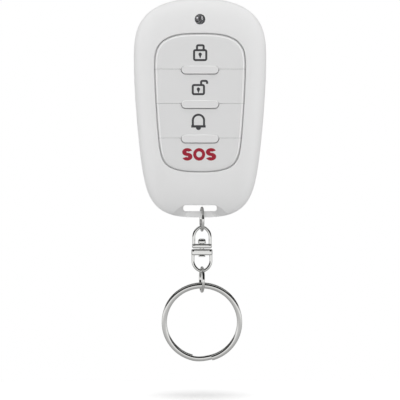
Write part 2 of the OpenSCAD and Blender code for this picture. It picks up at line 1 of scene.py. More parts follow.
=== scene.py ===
"""Looks of an alarm key fob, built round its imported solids.

The shells, keys, status light, battery cap, screws and chain are modelled again with soft edges and fine
detail, in the places that the solids hold. Sizes are in millimetres until a piece is finished, and then in
metres. Pieces of the body are drawn on their backs, with the depth upwards, and then stood up.
"""

import logging
import math
from collections.abc import Callable, Iterable, Sequence
from dataclasses import dataclass, field
from enum import Enum
from functools import partial

import bmesh
import bpy
from bmesh.types import BMEdge, BMesh, BMVert
from mathutils import Matrix, Vector


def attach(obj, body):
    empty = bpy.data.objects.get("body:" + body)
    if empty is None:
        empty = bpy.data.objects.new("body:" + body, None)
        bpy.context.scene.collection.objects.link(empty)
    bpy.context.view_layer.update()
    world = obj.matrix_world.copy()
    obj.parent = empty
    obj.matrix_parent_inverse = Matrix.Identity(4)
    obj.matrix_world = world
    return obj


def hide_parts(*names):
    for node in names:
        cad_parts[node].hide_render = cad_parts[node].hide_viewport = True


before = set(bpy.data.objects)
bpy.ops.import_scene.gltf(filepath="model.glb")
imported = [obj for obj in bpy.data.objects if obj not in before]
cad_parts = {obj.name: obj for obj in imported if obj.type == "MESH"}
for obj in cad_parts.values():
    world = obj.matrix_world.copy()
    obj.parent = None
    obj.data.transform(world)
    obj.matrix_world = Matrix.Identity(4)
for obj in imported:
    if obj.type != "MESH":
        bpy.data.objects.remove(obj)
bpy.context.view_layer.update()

LOG = logging.getLogger("key_fob")
UP = Vector((0, 0, 1))
# One millimetre, in metres
MM = 0.001
# Points closer than this become one
MERGE = 1e-4
# Places closer than this count as level
NEAR = 1e-3
# How far a cutting solid reaches past what it cuts
CLEAR = 1
# Points round a small circle
CIRCLE_POINTS = 48
# Halvings in the search for how far an outline reaches
HALVINGS = 50
# Angle between faces above which an edge can be rounded
SHARP = math.radians(35)
# Least upward part of the normal of a face that looks up
FACING = 0.9
# Angles in degrees above which an edge stays crisp, on moulded pieces and on drawn or cast ones
MOULDED = 30
DRAWN = 40

Pair = tuple[float, float]
Triple = tuple[float, float, float]
Outline = Callable[[float], float]
Ring = Callable[[float], Vector]


class Carve(Enum):
    """How one solid works on another."""

    CUT = "DIFFERENCE"
    JOIN = "UNION"


class Body(Enum):
    """The moving bodies of the fob."""

    FOB = "body"
    ARM = "arm_button"
    DISARM = "disarm_button"
    BELL = "bell_button"
    SOS = "sos_button"
    CAP = "cap"
    UPPER_RING = "upper_ring"
    UPPER_LINK = "upper_link"
    LOWER_LINK = "lower_link"
    LOWER_RING = "lower_ring"
    KEY_RING = "split_ring"


# Mesh tools


def verts_of(geometry: Iterable[object]) -> list[BMVert]:
    """Returns the vertices among some mesh elements."""
    return [item for item in geometry if isinstance(item, BMVert)]


def edges_of(geometry: Iterable[object]) -> list[BMEdge]:
    """Returns the edges among some mesh elements."""
    return [item for item in geometry if isinstance(item, BMEdge)]


def close_up(bm: BMesh) -> None:
    """Merges doubles and turns every face outwards."""
    bmesh.ops.remove_doubles(bm, verts=bm.verts[:], dist=MERGE)
    bmesh.ops.recalc_face_normals(bm, faces=bm.faces[:])


def fill_ends(bm: BMesh) -> None:
    """Closes every open loop with a face.

    Args:
        bm: The mesh.
    """
    rim = [edge for edge in bm.edges if edge.is_boundary]
    bmesh.ops.holes_fill(bm, edges=rim, sides=0)
    close_up(bm)


def trim(bm: BMesh, height: float, side: int) -> None:
    """Cuts a solid off at a level line, and closes the cut.

    Args:
        bm: The solid.
        height: Height of the line.
        side: 1 to drop what lies above the line, -1 to drop what lies below.
    """
    bmesh.ops.bisect_plane(
        bm,
        geom=bm.verts[:] + bm.edges[:] + bm.faces[:],
        plane_co=(0, height, 0),
        plane_no=(0, side, 0),
        clear_outer=True,
    )
    fill_ends(bm)


def bevel(bm: BMesh, edges: list[BMEdge], radius: float, segments: int) -> None:
    """Rounds some edges of a solid.

    Args:
        bm: The solid.
        edges: The edges.
        radius: Width of the rounding.
        segments: Faces across the rounding.
    """
    bmesh.ops.bevel(
        bm,
        geom=edges,
        offset=radius,
        segments=segments,
        profile=0.5,
        affect="EDGES",
        clamp_overlap=True,
        material=-1,
    )


def round_edges(
    bm: BMesh,
    radius: float,
    segments: int = 3,
    keep: Callable[[BMEdge], bool] | None = None,
) -> None:
    """Rounds the sharp edges of a solid.

    Args:
        bm: The solid.
        radius: Width of the rounding.
        segments: Faces across the rounding.
        keep: Says which of the sharp edges to round, or all of them if it is left out.
    """
    bm.normal_update()
    sharp = [edge for edge in bm.edges if edge.is_manifold and edge.calc_face_angle() > SHARP]
    bevel(bm, [edge for edge in sharp if keep is None or keep(edge)], radius, segments)


def raise_faces(bm: BMesh, height: float) -> None:
    """Makes a flat drawing a solid.

    Args:
        bm: A mesh of flat faces at one depth.
        height: Thickness, towards the viewer.
    """
    lifted = bmesh.ops.extrude_face_region(bm, geom=bm.faces[:], use_keep_orig=True)
    bmesh.ops.translate(bm, verts=verts_of(lifted["geom"]), vec=UP * height)
    close_up(bm)


def loft(rings: Sequence[Ring], segments: int, hollow: bool = True) -> BMesh:
    """Builds a closed skin through rings of points.

    Args:
        rings: Functions from an angle to a point, where each ring keeps the angle.
        segments: Points in a ring.
        hollow: Whether the last ring joins the first, or each of them is filled.

    Returns:
        The solid.
    """
    bm = bmesh.new()
    bmesh.ops.create_circle(bm, segments=segments, radius=1)
    first = bm.edges[:]
    edges = first
    for number, ring in enumerate(rings):
        verts = bm.verts[:]
        if number:
            step = bmesh.ops.extrude_edge_only(bm, edges=edges)
            edges = edges_of(step["geom"])
            verts = verts_of(step["geom"])
        for vert in verts:
            vert.co = ring(math.atan2(vert.co.y, vert.co.x))
    if hollow:
        bmesh.ops.bridge_loops(bm, edges=first + edges)
    else:
        bmesh.ops.holes_fill(bm, edges=first + edges, sides=0)
    close_up(bm)
    return bm


def lathe(profile: Sequence[Pair], steps: int = 96) -> BMesh:
    """Turns a profile round the depth axis.

    Args:
        profile: Radius and depth of each corner, where both ends lie on the axis or meet.
        steps: Faces round the axis.

    Returns:
        The closed solid.
    """
    bm = bmesh.new()
    verts = [bm.verts.new((radius, 0, depth)) for radius, depth in profile]
    edges = [bm.edges.new(pair) for pair in zip(verts, verts[1:])]
    bmesh.ops.spin(
        bm,
        geom=verts + edges,
        cent=(0, 0, 0),
        axis=UP,
        angle=math.tau,
        steps=steps,
        use_merge=True,
    )
    close_up(bm)
    return bm


def prism(face_maker: Callable[[BMesh], None], low: float, high: float) -> BMesh:
    """Raises a flat outline to a solid.

    Args:
        face_maker: Draws the flat faces at depth 0.
        low: Depth of the back of the solid.
        high: Depth of its front.

    Returns:
        The solid.
    """
    bm = bmesh.new()
    face_maker(bm)
    bmesh.ops.translate(bm, verts=bm.verts[:], vec=UP * low)
    raise_faces(bm, high - low)
    return bm


def draw_disc(bm: BMesh, radius: float, segments: int = CIRCLE_POINTS) -> None:
    """Draws a round face about the origin."""
    bmesh.ops.create_circle(bm, cap_ends=True, segments=segments, radius=radius)


def draw_pill(bm: BMesh, width: float, height: float, corner: float = 0) -> None:
    """Draws a level bar with round corners about the origin.

    Args:
        bm: The mesh to draw in.
        width: Overall length.
        height: Overall height.
        corner: Radius of the corners, or 0 for fully round ends.
    """
    radius = corner or height / 2
    made = bmesh.ops.create_circle(bm, cap_ends=True, segments=CIRCLE_POINTS, radius=radius)
    turn = Matrix.Rotation(math.pi / CIRCLE_POINTS, 4, "Z")
    bmesh.ops.transform(bm, matrix=turn, verts=made["verts"])
    for vert in made["verts"]:
        vert.co.x += math.copysign(width / 2 - radius, vert.co.x)
        vert.co.y += math.copysign(height / 2 - radius, vert.co.y)


def move(bm: BMesh, place: Sequence[float]) -> BMesh:
    """Moves a whole mesh and returns it."""
    bmesh.ops.translate(bm, verts=bm.verts[:], vec=Vector(place))
    return bm


def spread(bm: BMesh, share: Sequence[float]) -> BMesh:
    """Scales a whole mesh about the origin and returns it."""
    bmesh.ops.scale(bm, vec=Vector(share), verts=bm.verts[:])
    return bm


def rotate(bm: BMesh, degrees: float, axis: str) -> BMesh:
    """Turns a whole mesh about an axis through the origin.

    Args:
        bm: The mesh.
        degrees: Angle of the turn.
        axis: X, Y or Z.

    Returns:
        The mesh.
    """
    matrix = Matrix.Rotation(math.radians(degrees), 4, axis)
    bmesh.ops.transform(bm, matrix=matrix, verts=bm.verts[:])
    return bm


def stand_up(bm: BMesh) -> BMesh:
    """Turns a mesh drawn on its back to stand upright and returns it."""
    return rotate(bm, 90, "X")


def take(bm: BMesh, other: BMesh) -> None:
    """Adds another mesh to a mesh, and frees the other.

    Args:
        bm: The mesh that grows.
        other: The mesh that is added.
    """
    mesh = bpy.data.meshes.new("addition")
    other.to_mesh(mesh)
    other.free()
    bm.from_mesh(mesh)
    bpy.data.meshes.remove(mesh)


def as_object(bm: BMesh, name: str) -> bpy.types.Object:
    """Puts a mesh in the scene and frees it.

    Args:
        bm: The mesh.
        name: Name of the new object.

    Returns:
        The object, at the origin.
    """
    mesh = bpy.data.meshes.new(name)
    bm.to_mesh(mesh)
    bm.free()
    thing = bpy.data.objects.new(name, mesh)
    bpy.context.scene.collection.objects.link(thing)
    return thing


def carve(bm: BMesh, tools: Sequence[BMesh], way: Carve) -> BMesh:
    """Cuts solids out of a solid, or joins them to it.

    Args:
        bm: The solid to work on.
        tools: The solids that cut it or join it.
        way: Cut or join.

    Returns:
        The new solid.
    """
    base = as_object(bm, "blank")
    cutters = [as_object(tool, f"tool{number}") for number, tool in enumerate(tools)]
    for cutter in cutters:
        modifier = base.modifiers.new(cutter.name, "BOOLEAN")
        modifier.operation = way.value
        modifier.solver = "EXACT"
        modifier.object = cutter
    bpy.context.view_layer.update()
    worked = base.evaluated_get(bpy.context.evaluated_depsgraph_get()).to_mesh()
    made = bmesh.new()
    made.from_mesh(worked)
    for thing in [base, *cutters]:
        mesh = thing.data
        bpy.data.objects.remove(thing)
        bpy.data.meshes.remove(mesh)
    return made


@dataclass
class Sweep:
    """A pen or wire that grows from its tip by straight runs and turns.

    Args:
        bm: The mesh to draw in.
        edges: Edges of the tip: one across a flat stroke, or a loop round a wire.
        place: Middle of the tip.
        heading: Direction of travel.
        axis: Axis of the turns, where a positive turn goes left round it.
        fine: Degrees of turn for each step.
    """

    bm: BMesh
    edges: list[BMEdge]
    place: Vector
    heading: Vector
    axis: Vector
    fine: float = 6

    @classmethod
    def stroke(cls, bm: BMesh, width: float, place: Sequence[float], degrees: float) -> "Sweep":
        """Starts a flat stroke.

        Args:
            bm: The mesh to draw in.
            width: Width of the stroke.
            place: Where it starts, as left-right and height.
            degrees: Direction, anticlockwise from the right.

        Returns:
            The pen.
        """
        angle = math.radians(degrees)
        heading = Vector((math.cos(angle), math.sin(angle), 0))
        start = Vector((place[0], place[1], 0))
        half = UP.cross(heading) * width / 2
        edge = bm.edges.new((bm.verts.new(start + half), bm.verts.new(start - half)))
        return cls(bm, [edge], start, heading, UP)

    @classmethod
    def wire(
        cls,
        bm: BMesh,
        size: Pair,
        place: Sequence[float],
        heading: Sequence[float],
        axis: Sequence[float],
        segments: int = 24,
        square: float = 2,
    ) -> "Sweep":
        """Starts a wire.

        Args:
            bm: The mesh to draw in.
            size: Width across the axis of the turns, and thickness along it.
            place: Where it starts.
            heading: Direction of travel.
            axis: Axis of the turns.
            segments: Faces round the wire.
            square: 2 for a round or oval wire, and more for flatter sides.

        Returns:
            The sweep.
        """
        along = Vector(heading).normalized()
        normal = Vector(axis).normalized()
        side = normal.cross(along)
        matrix = Matrix((side, normal, along)).transposed().to_4x4()
        matrix.translation = Vector(place)
        flat = Matrix.Diagonal((size[0] / 2, size[1] / 2, 1, 1))
        made = bmesh.ops.create_circle(bm, segments=segments, radius=1)
        for vert in made["verts"]:
            vert.co.x = math.copysign(abs(vert.co.x) ** (2 / square), vert.co.x)
            vert.co.y = math.copysign(abs(vert.co.y) ** (2 / square), vert.co.y)
        bmesh.ops.transform(bm, matrix=matrix @ flat, verts=made["verts"])
        loop = list(dict.fromkeys(edge for vert in made["verts"] for edge in vert.link_edges))
        return cls(bm, loop, Vector(place), along, normal)

    def forward(self, length: float) -> "Sweep":
        """Runs straight on.

        Args:
            length: Length of the run.

        Returns:
            Itself.
        """
        step = bmesh.ops.extrude_edge_only(self.bm, edges=self.edges)
        run = self.heading * length
        bmesh.ops.translate(self.bm, verts=verts_of(step["geom"]), vec=run)
        self.edges = edges_of(step["geom"])
        self.place = self.place + run
        return self

    def turn(self, radius: float, degrees: float, rise: float = 0) -> "Sweep":
        """Turns about a centre beside the tip.

        Args:
            radius: Distance of the centre from the middle of the tip.
            degrees: Angle, to the left if positive.
            rise: Shift along the axis over the whole turn.

        Returns:
            Itself.
        """
        side = self.axis.cross(self.heading) * math.copysign(radius, degrees)
        centre = self.place + side
        steps = max(1, round(abs(degrees) / self.fine))
        verts = list(dict.fromkeys(vert for edge in self.edges for vert in edge.verts))
        spun = bmesh.ops.spin(
            self.bm,
            geom=verts + self.edges,
            cent=centre,
            axis=self.axis,
            dvec=self.axis * rise / steps,
            angle=math.radians(degrees),
            steps=steps,
        )
        self.edges = edges_of(spun["geom_last"])
        swing = Matrix.Rotation(math.radians(degrees), 3, self.axis)
        self.place = centre - swing @ side + self.axis * rise
        self.heading = swing @ self.heading
        return self


# Finishes

# Direction that the keys face
FRONT = (0.0, -1.0, 0.0)
# Levels of the patches between which the gloss changes
GLOSS_SPAN = (0.3, 0.7)
# Octaves of the patches and of the fine relief
PATCH_DETAIL = 3.0
GRAIN_DETAIL = 2.0
# Radians of phase in a unit of the wave texture's length, and how far its threads wander
WAVE_RATE = 20
WAVE_BEND = 0.4
# Sockets of the mix node: its factor, and the pairs and results for levels and for colours
FACTOR = 0
LEVEL_A, LEVEL_B, LEVEL_OUT = 2, 3, 0
COLOUR_A, COLOUR_B, COLOUR_OUT = 6, 7, 2


def to_linear(colour: str) -> tuple[float, ...]:
    """Turns an sRGB hex colour to linear light.

    Args:
        colour: Six hex digits.

    Returns:
        Red, green, blue and a full alpha.
    """
    parts = [int(colour[place : place + 2], 16) / 255 for place in (0, 2, 4)]
    linear = [part / 12.92 if part <= 0.04045 else ((part + 0.055) / 1.055) ** 2.4 for part in parts]
    return (*linear, 1.0)


def per_mm(size: float) -> float:
    """Returns the texture scale that repeats once in a size in millimetres."""
    return 1 / (size * MM)


def add_node(
    tree: bpy.types.NodeTree,
    kind: str,
    inputs: dict[str | int, object] | None = None,
    **settings: object,
) -> bpy.types.Node:
    """Adds a shader node, with its settings, constants and links.

    Args:
        tree: The node tree.
        kind: Blender's name for the node, without ShaderNode.
        inputs: Value of each input, where a socket becomes a link.
        settings: The node's own settings.

    Returns:
        The node.
    """
    node = tree.nodes.new(f"ShaderNode{kind}")
    for name, value in settings.items():
        setattr(node, name, value)
    for name, value in (inputs or {}).items():
        if isinstance(value, bpy.types.NodeSocket):
            tree.links.new(value, node.inputs[name])
        else:
            node.inputs[name].default_value = value
    return node


@dataclass(frozen=True)
class Finish:
    """A surface with a fine relief, patchy gloss and a slight drift of colour.

    Args:
        name: Common name of the material and how it was made.
        light: Lighter colour.
        dark: Darker colour.
        metallic: 1 for a metal.
        rough: Least and greatest roughness.
        patch: Width of a patch of colour or gloss, in millimetres.
        grain: Width of the relief, in millimetres.
        depth: Depth of the relief, in millimetres.
        stretch: Stretch of the relief along each axis.
        index: Index of refraction.
        clear: Share of light that passes through.
        rim_highlight: Colour of a painted highlight on round edges that turn away from the front and don't
            face down, or nothing.
        rim_highlight_turn: Cosine of the turn at which the painted highlight starts, and at which it is
            full.
        rim_highlight_fall: Upward part of the normal at which the painted highlight starts, and at which it
            is full.
    """

    name: str
    light: str
    dark: str
    metallic: float = 0
    rough: Pair = (0.35, 0.45)
    patch: float = 6
    grain: float = 0.25
    depth: float = 0.004
    stretch: Triple = (1, 1, 1)
    index: float = 1.5
    clear: float = 0
    rim_highlight: str = ""
    rim_highlight_turn: Pair = (0.978, 0.958)
    rim_highlight_fall: Pair = (-0.2, -0.08)

    def paint_edge_highlight(self, tree: bpy.types.NodeTree, colour: bpy.types.NodeSocket) -> bpy.types.NodeSocket:
        """Returns the colour with a painted highlight on its round edges that don't face down.

        Args:
            tree: The material's node tree.
            colour: Colour before the painted highlight.

        Returns:
            The colour's socket.
        """
        # A lighter colour where the normal turns from the front and doesn't point down: a painted highlight
        normal = add_node(tree, "NewGeometry").outputs["Normal"]
        facing = add_node(tree, "VectorMath", {0: normal, 1: FRONT}, operation="DOT_PRODUCT")
        start, full = self.rim_highlight_turn
        turned = {"Value": facing.outputs["Value"], "From Min": start, "From Max": full}
        share = add_node(tree, "MapRange", turned).outputs["Result"]
        upward = add_node(tree, "SeparateXYZ", {"Vector": normal}).outputs["Z"]
        start, full = self.rim_highlight_fall
        fall = {"Value": upward, "From Min": start, "From Max": full, "To Max": share}
        share = add_node(tree, "MapRange", fall).outputs["Result"]
        mixed = {FACTOR: share, COLOUR_A: colour, COLOUR_B: to_linear(self.rim_highlight)}
        return add_node(tree, "Mix", mixed, data_type="RGBA").outputs[COLOUR_OUT]

    def relief(self, tree: bpy.types.NodeTree, place: bpy.types.NodeSocket) -> bpy.types.NodeSocket:
        """Returns the height of the fine relief.

        Args:
            tree: The material's node tree.
            place: Object coordinates.

        Returns:
            The height socket, from 0 to 1.
        """
        mapped = add_node(tree, "Mapping", {"Vector": place, "Scale": self.stretch}).outputs["Vector"]
        grain = {"Vector": mapped, "Scale": per_mm(self.grain), "Detail": GRAIN_DETAIL}
        return add_node(tree, "TexNoise", grain).outputs["Fac"]

    def material(self) -> bpy.types.Material:
        """Makes the material at its first use.

        Returns:
            The material.
        """
        found = bpy.data.materials.get(self.name)
        if found:
            return found
        made = bpy.data.materials.new(self.name)
        made.use_nodes = True
        tree = made.node_tree
        tree.nodes.clear()
        place = add_node(tree, "TexCoord").outputs["Object"]
        spots = {"Vector": place, "Scale": per_mm(self.patch), "Detail": PATCH_DETAIL}
        patches = add_node(tree, "TexNoise", spots).outputs["Fac"]
        drift = {FACTOR: patches, COLOUR_A: to_linear(self.dark), COLOUR_B: to_linear(self.light)}
        colour = add_node(tree, "Mix", drift, data_type="RGBA").outputs[COLOUR_OUT]
        # Round edges that don't face down get a lighter colour: a painted highlight
        if self.rim_highlight:
            colour = self.paint_edge_highlight(tree, colour)
        gloss = {
            "Value": patches,
            "From Min": GLOSS_SPAN[0],
            "From Max": GLOSS_SPAN[1],
            "To Min": self.rough[0],
            "To Max": self.rough[1],
        }
        bumps = {"Height": self.relief(tree, place), "Strength": 1.0, "Distance": self.depth * MM}
        surface = {
            "Base Color": colour,
            "Metallic": self.metallic,
            "Roughness": add_node(tree, "MapRange", gloss).outputs["Result"],
            "IOR": self.index,
            "Normal": add_node(tree, "Bump", bumps).outputs["Normal"],
            "Transmission Weight": self.clear,
        }
        shader = add_node(tree, "BsdfPrincipled", surface)
        add_node(tree, "OutputMaterial", {"Surface": shader.outputs["BSDF"]})
        return made


@dataclass(frozen=True)
class Woven(Finish):
    """A laminate whose glass cloth shows through as a fine check."""

    def relief(self, tree: bpy.types.NodeTree, place: bpy.types.NodeSocket) -> bpy.types.NodeSocket:
        """Returns the height of the weave.

        Args:
            tree: The material's node tree.
            place: Object coordinates.

        Returns:
            The height socket, from 0 to 1.
        """
        wave = {"Vector": place, "Scale": per_mm(self.grain) / WAVE_RATE, "Distortion": WAVE_BEND}
        warp, weft = [
            add_node(tree, "TexWave", wave, bands_direction=direction).outputs["Fac"]
            for direction in ("X", "Z")
        ]
        return add_node(tree, "Math", {0: warp, 1: weft}, operation="MULTIPLY").outputs["Value"]


# White ABS, moulded against a spark-eroded die: an even, slightly silky white with a fine dry grain
SHELL = Finish("abs_moulded_white", "eaeaea", "e6e6e6", rough=(0.36, 0.44), grain=0.22, depth=0.003)
# White ABS from a smoother die: a little more gloss than the shell, and a painted highlight on round edges
# that don't face down
KEY = Finish(
    "abs_satin_white", "e2e2e2", "dfdfdf", rough=(0.3, 0.38), grain=0.3, depth=0.002, rim_highlight="fafafa"
)
# Dark pad-printed ink: flat, slightly uneven where the pad lifted
INK = Finish(
    "ink_pad_printed_grey", "444446", "37373a", rough=(0.5, 0.65), patch=0.8, grain=0.12, depth=0.004
)
# Red pad-printed ink, thicker and deeper in colour
RED_INK = Finish(
    "ink_pad_printed_red", "a81730", "93112a", rough=(0.45, 0.6), patch=0.8, grain=0.12, depth=0.004
)
# Cast epoxy with a faint smoke tint: a clear lens with a sharp highlight
LENS = Finish(
    "epoxy_cast_smoke", "e6e6e9", "dadade", rough=(0.03, 0.06), patch=2, depth=0.0005, index=1.54, clear=1
)
# Cast epoxy clouded with filler: a flat pale grey under the lens
CLOUDED = Finish(
    "epoxy_cast_clouded", "dcdcde", "cacacc", rough=(0.5, 0.6), patch=0.8, grain=0.1, depth=0.003
)
# Sawn semiconductor: a dark grey with a dull sheen
DIE = Finish(
    "semiconductor_sawn", "6a6a6c", "5c5c5e", rough=(0.35, 0.45), patch=1.5, grain=0.2, depth=0.002
)
# Stamped lead frame, silver plated: bright with a soft edge
LEAD_FRAME = Finish("steel_silver_plated", "d8d8d6", "c8c8c8", 1, (0.2, 0.3), 1.5, 0.1, 0.002)
# Nickel over drawn steel wire: mirror bright with faint drawing lines
NICKEL = Finish("steel_nickel_plated", "dededc", "d6d6d4", 1, (0.05, 0.1), 2.5, 0.12, 0.0006, (1, 1, 0.3))
# Zinc-plated screw steel: duller and greyer than the nickel
ZINC = Finish("steel_zinc_plated", "b4b4b6", "9a9a9e", 1, (0.25, 0.4), 0.8, 0.08, 0.002)
# Green solder mask on glass laminate: a glossy green with the cloth just showing
LAMINATE = Woven("glass_laminate_green", "1f6b43", "185537", rough=(0.25, 0.35), grain=0.5, depth=0.01)
# Glass-filled nylon, black: matt with a fibrous grain
NYLON = Finish("nylon_black", "2a2a2c", "1f1f21", rough=(0.5, 0.65), patch=2, grain=0.15, depth=0.006)
# Acetal, grey: waxy and smooth
ACETAL = Finish("acetal_grey", "6a6a6c", "5c5c5e", rough=(0.35, 0.45), patch=1.5, grain=0.2, depth=0.002)
# Epoxy moulding compound: a flat charcoal with a fine sparkle
CHIP_RESIN = Finish(
    "epoxy_moulded_black", "2e2e30", "232325", rough=(0.55, 0.7), patch=1, grain=0.08, depth=0.005
)
# Rolled stainless steel: satin, with rolling lines
STAINLESS = Finish(
    "steel_stainless_rolled", "c6c6c4", "b2b2b2", 1, (0.22, 0.34), 2, 0.1, 0.003, (0.2, 1, 1)
)
# Tin-plated copper wire: soft and slightly frosted
TINNED = Finish("copper_tinned", "cfcfcf", "bcbcbe", 1, (0.28, 0.42), 0.8, 0.1, 0.003)
# Rolled brass strip: warm and satin
BRASS = Finish("brass_rolled", "d9b56a", "c39c50", 1, (0.24, 0.36), 2, 0.1, 0.003, (0.2, 1, 1))
# Fired ceramic: a biscuit tan with a fine tooth
CERAMIC = Finish(
    "ceramic_fired_tan", "b79a78", "a0845f", rough=(0.45, 0.6), patch=0.8, grain=0.08, depth=0.004
)
# Pale seamless paper: matt and nearly even; the floor gives it a glow that is lower under the part, a
# painted shadow
PAINTED_SHADOW_PAPER = Finish("paper_white_painted_shadow", "c2c2c2", "c0c0c0", rough=(0.8, 0.9), patch=80, grain=2, depth=0.01)

NODE_FINISHES: dict[str, Finish] = {
    "circuit_board": LAMINATE,
    "switch_bases": NYLON,
    "switch_covers": STAINLESS,
    "arm_plunger": ACETAL,
    "disarm_plunger": ACETAL,
    "bell_plunger": ACETAL,
    "sos_plunger": ACETAL,
    "led_leads": TINNED,
    "controller_chip": CHIP_RESIN,
    "radio_resonator": STAINLESS,
    "crystal": STAINLESS,
    "chip_parts": CERAMIC,
    "loop_antenna": BRASS,
    "battery_holder": NYLON,
    "positive_contact": STAINLESS,
    "negative_contact": STAINLESS,
    "coin_cell": STAINLESS,
}


def finish_piece(
    bm: BMesh,
    name: str,
    finish: Finish,
    body: Body,
    nodes: Sequence[str] = (),
    sharp: float = MOULDED,
) -> bpy.types.Object:
    """Makes a mesh a finished piece of the fob.

    Args:
        bm: The mesh, in millimetres, in its place.
        name: Name of the piece.
        finish: Its finish.
        body: The body that it moves with.
        nodes: The solids that it stands for.
        sharp: Angle between faces, in degrees, above which an edge stays crisp.

    Returns:
        The piece.
    """
    bmesh.ops.scale(bm, vec=(MM, MM, MM), verts=bm.verts[:])
    piece = as_object(bm, name)
    piece.data.shade_smooth()
    piece.data.set_sharp_from_angle(angle=math.radians(sharp))
    piece.data.materials.append(finish.material())
    evened = piece.modifiers.new("even_shading", "WEIGHTED_NORMAL")
    evened.keep_sharp = True
    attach(piece, body.value)
    if nodes:
        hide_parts(*nodes)
    LOG.info("%s: %d faces on %s", name, len(piece.data.polygons), body.value)
    return piece


# Outlines


@dataclass(frozen=True)
class Egg:
    """An egg outline whose widest line lies above its middle.

    Args:
        half: Half of the greatest width.
        up: Height above the widest line.
        down: Height below it.
        wide: Height of the widest line above the origin.
        shape: Roundness and squareness above, roundness and squareness below, taper and taper power.
    """

    half: float
    up: float
    down: float
    wide: float
    shape: tuple[float, float, float, float, float, float]

    def grown(self, by: float) -> "Egg":
        """Returns the outline moved outwards by a distance."""
        return Egg(self.half + by, self.up + by, self.down + by, self.wide, self.shape)

    def half_width(self, height: float) -> float:
        """Measures the outline at a height.

        Args:
            height: Height above the origin.

        Returns:
            The half width, or less than 0 outside the outline.
        """
        round_up, square_up, round_down, square_down, taper, power = self.shape
        above = height - self.wide
        share = above / self.up if above >= 0 else -above / self.down
        if share > 1:
            return -1
        if above >= 0:
            return self.half * (1 - share**square_up) ** (1 / round_up)
        return self.half * (1 - taper * share**power) * (1 - share**square_down) ** (1 / round_down)

    def reach(self, angle: float) -> float:
        """Measures the outline in a direction.

        Args:
            angle: The direction, in radians from the right.

        Returns:
            The distance of the outline from the origin.
        """
        low = 0.0
        high = 2 * (self.up + self.down)
        for _ in range(HALVINGS):
            middle = (low + high) / 2
            inside = abs(middle * math.cos(angle)) <= self.half_width(middle * math.sin(angle))
            low, high = (middle, high) if inside else (low, middle)
        return low


@dataclass(frozen=True)
class Circle:
    """A round outline whose centre lies off the origin.

    Args:
        radius: Radius.
        up: Height of the centre above the origin.
    """

    radius: float
    up: float

    def grown(self, by: float) -> "Circle":
        """Returns the outline moved outwards by a distance."""
        return Circle(self.radius + by, self.up)

    def reach(self, angle: float) -> float:
        """Returns the distance of the outline from the origin in a direction."""
        along = self.up * math.sin(angle)
        return along + math.sqrt(self.radius**2 - self.up**2 + along**2)


@dataclass(frozen=True)
class Dome:
    """A face that is flat in the middle and falls away towards its edge.

    Args:
        edge: Depth of its edge.
        top: Depth of its flat middle.
        flat: Share of the outline from which it falls.
    """

    edge: float
    top: float
    flat: float

    def rise(self, share: float) -> float:
        """Returns its depth at a share of the outline."""
        lean = max(0.0, (share - self.flat) / (1 - self.flat))
        return self.edge + (self.top - self.edge) * math.sqrt(max(0.0, 1 - lean**2))


def polar(angle: float, length: float, depth: float) -> Vector:
    """Returns the point at an angle, a distance from the axis and a depth."""
    return Vector((math.cos(angle), math.sin(angle), 0)) * length + UP * depth


def level_point(reach: Outline, depth: float, angle: float) -> Vector:
    """Returns the point of an outline at a depth and an angle."""
    return polar(angle, reach(angle), depth)


def ring_at(reach: Outline, depth: float) -> Ring:
    """Returns a level ring on an outline."""
    return partial(level_point, reach, depth)


def dome_point(inner: Outline, outer: Outline, face: Dome, step: float, angle: float) -> Vector:
    """Returns a point of a domed face between two outlines.

    Args:
        inner: Outline of the opening in the face.
        outer: Outline of the body.
        face: The face.
        step: Place between the two outlines, from 0 at the opening to 1.
        angle: Direction of the point.

    Returns:
        The point.
    """
    edge = outer(angle)
    start = inner(angle) / edge
    share = start + (1 - start) * step
    return polar(angle, share * edge, face.rise(share))


def spaced(count: int) -> list[float]:
    """Returns places from the edge of a dome to its opening, closer together at the edge."""
    return [math.sin(math.pi / 2 * (1 - number / count)) for number in range(count + 1)]


def quarter(radius: float, shares: Sequence[float]) -> list[Pair]:
    """Returns how far a rounded edge lies outside its wall and below its face.

    Args:
        radius: Radius of the edge.
        shares: Places along it, where 1 is its end.

    Returns:
        The two distances at each place.
    """
    angles = [share * math.pi / 2 for share in shares]
    return [(radius * (1 - math.sin(angle)), radius * (1 - math.cos(angle))) for angle in angles]


# Sub-assemblies


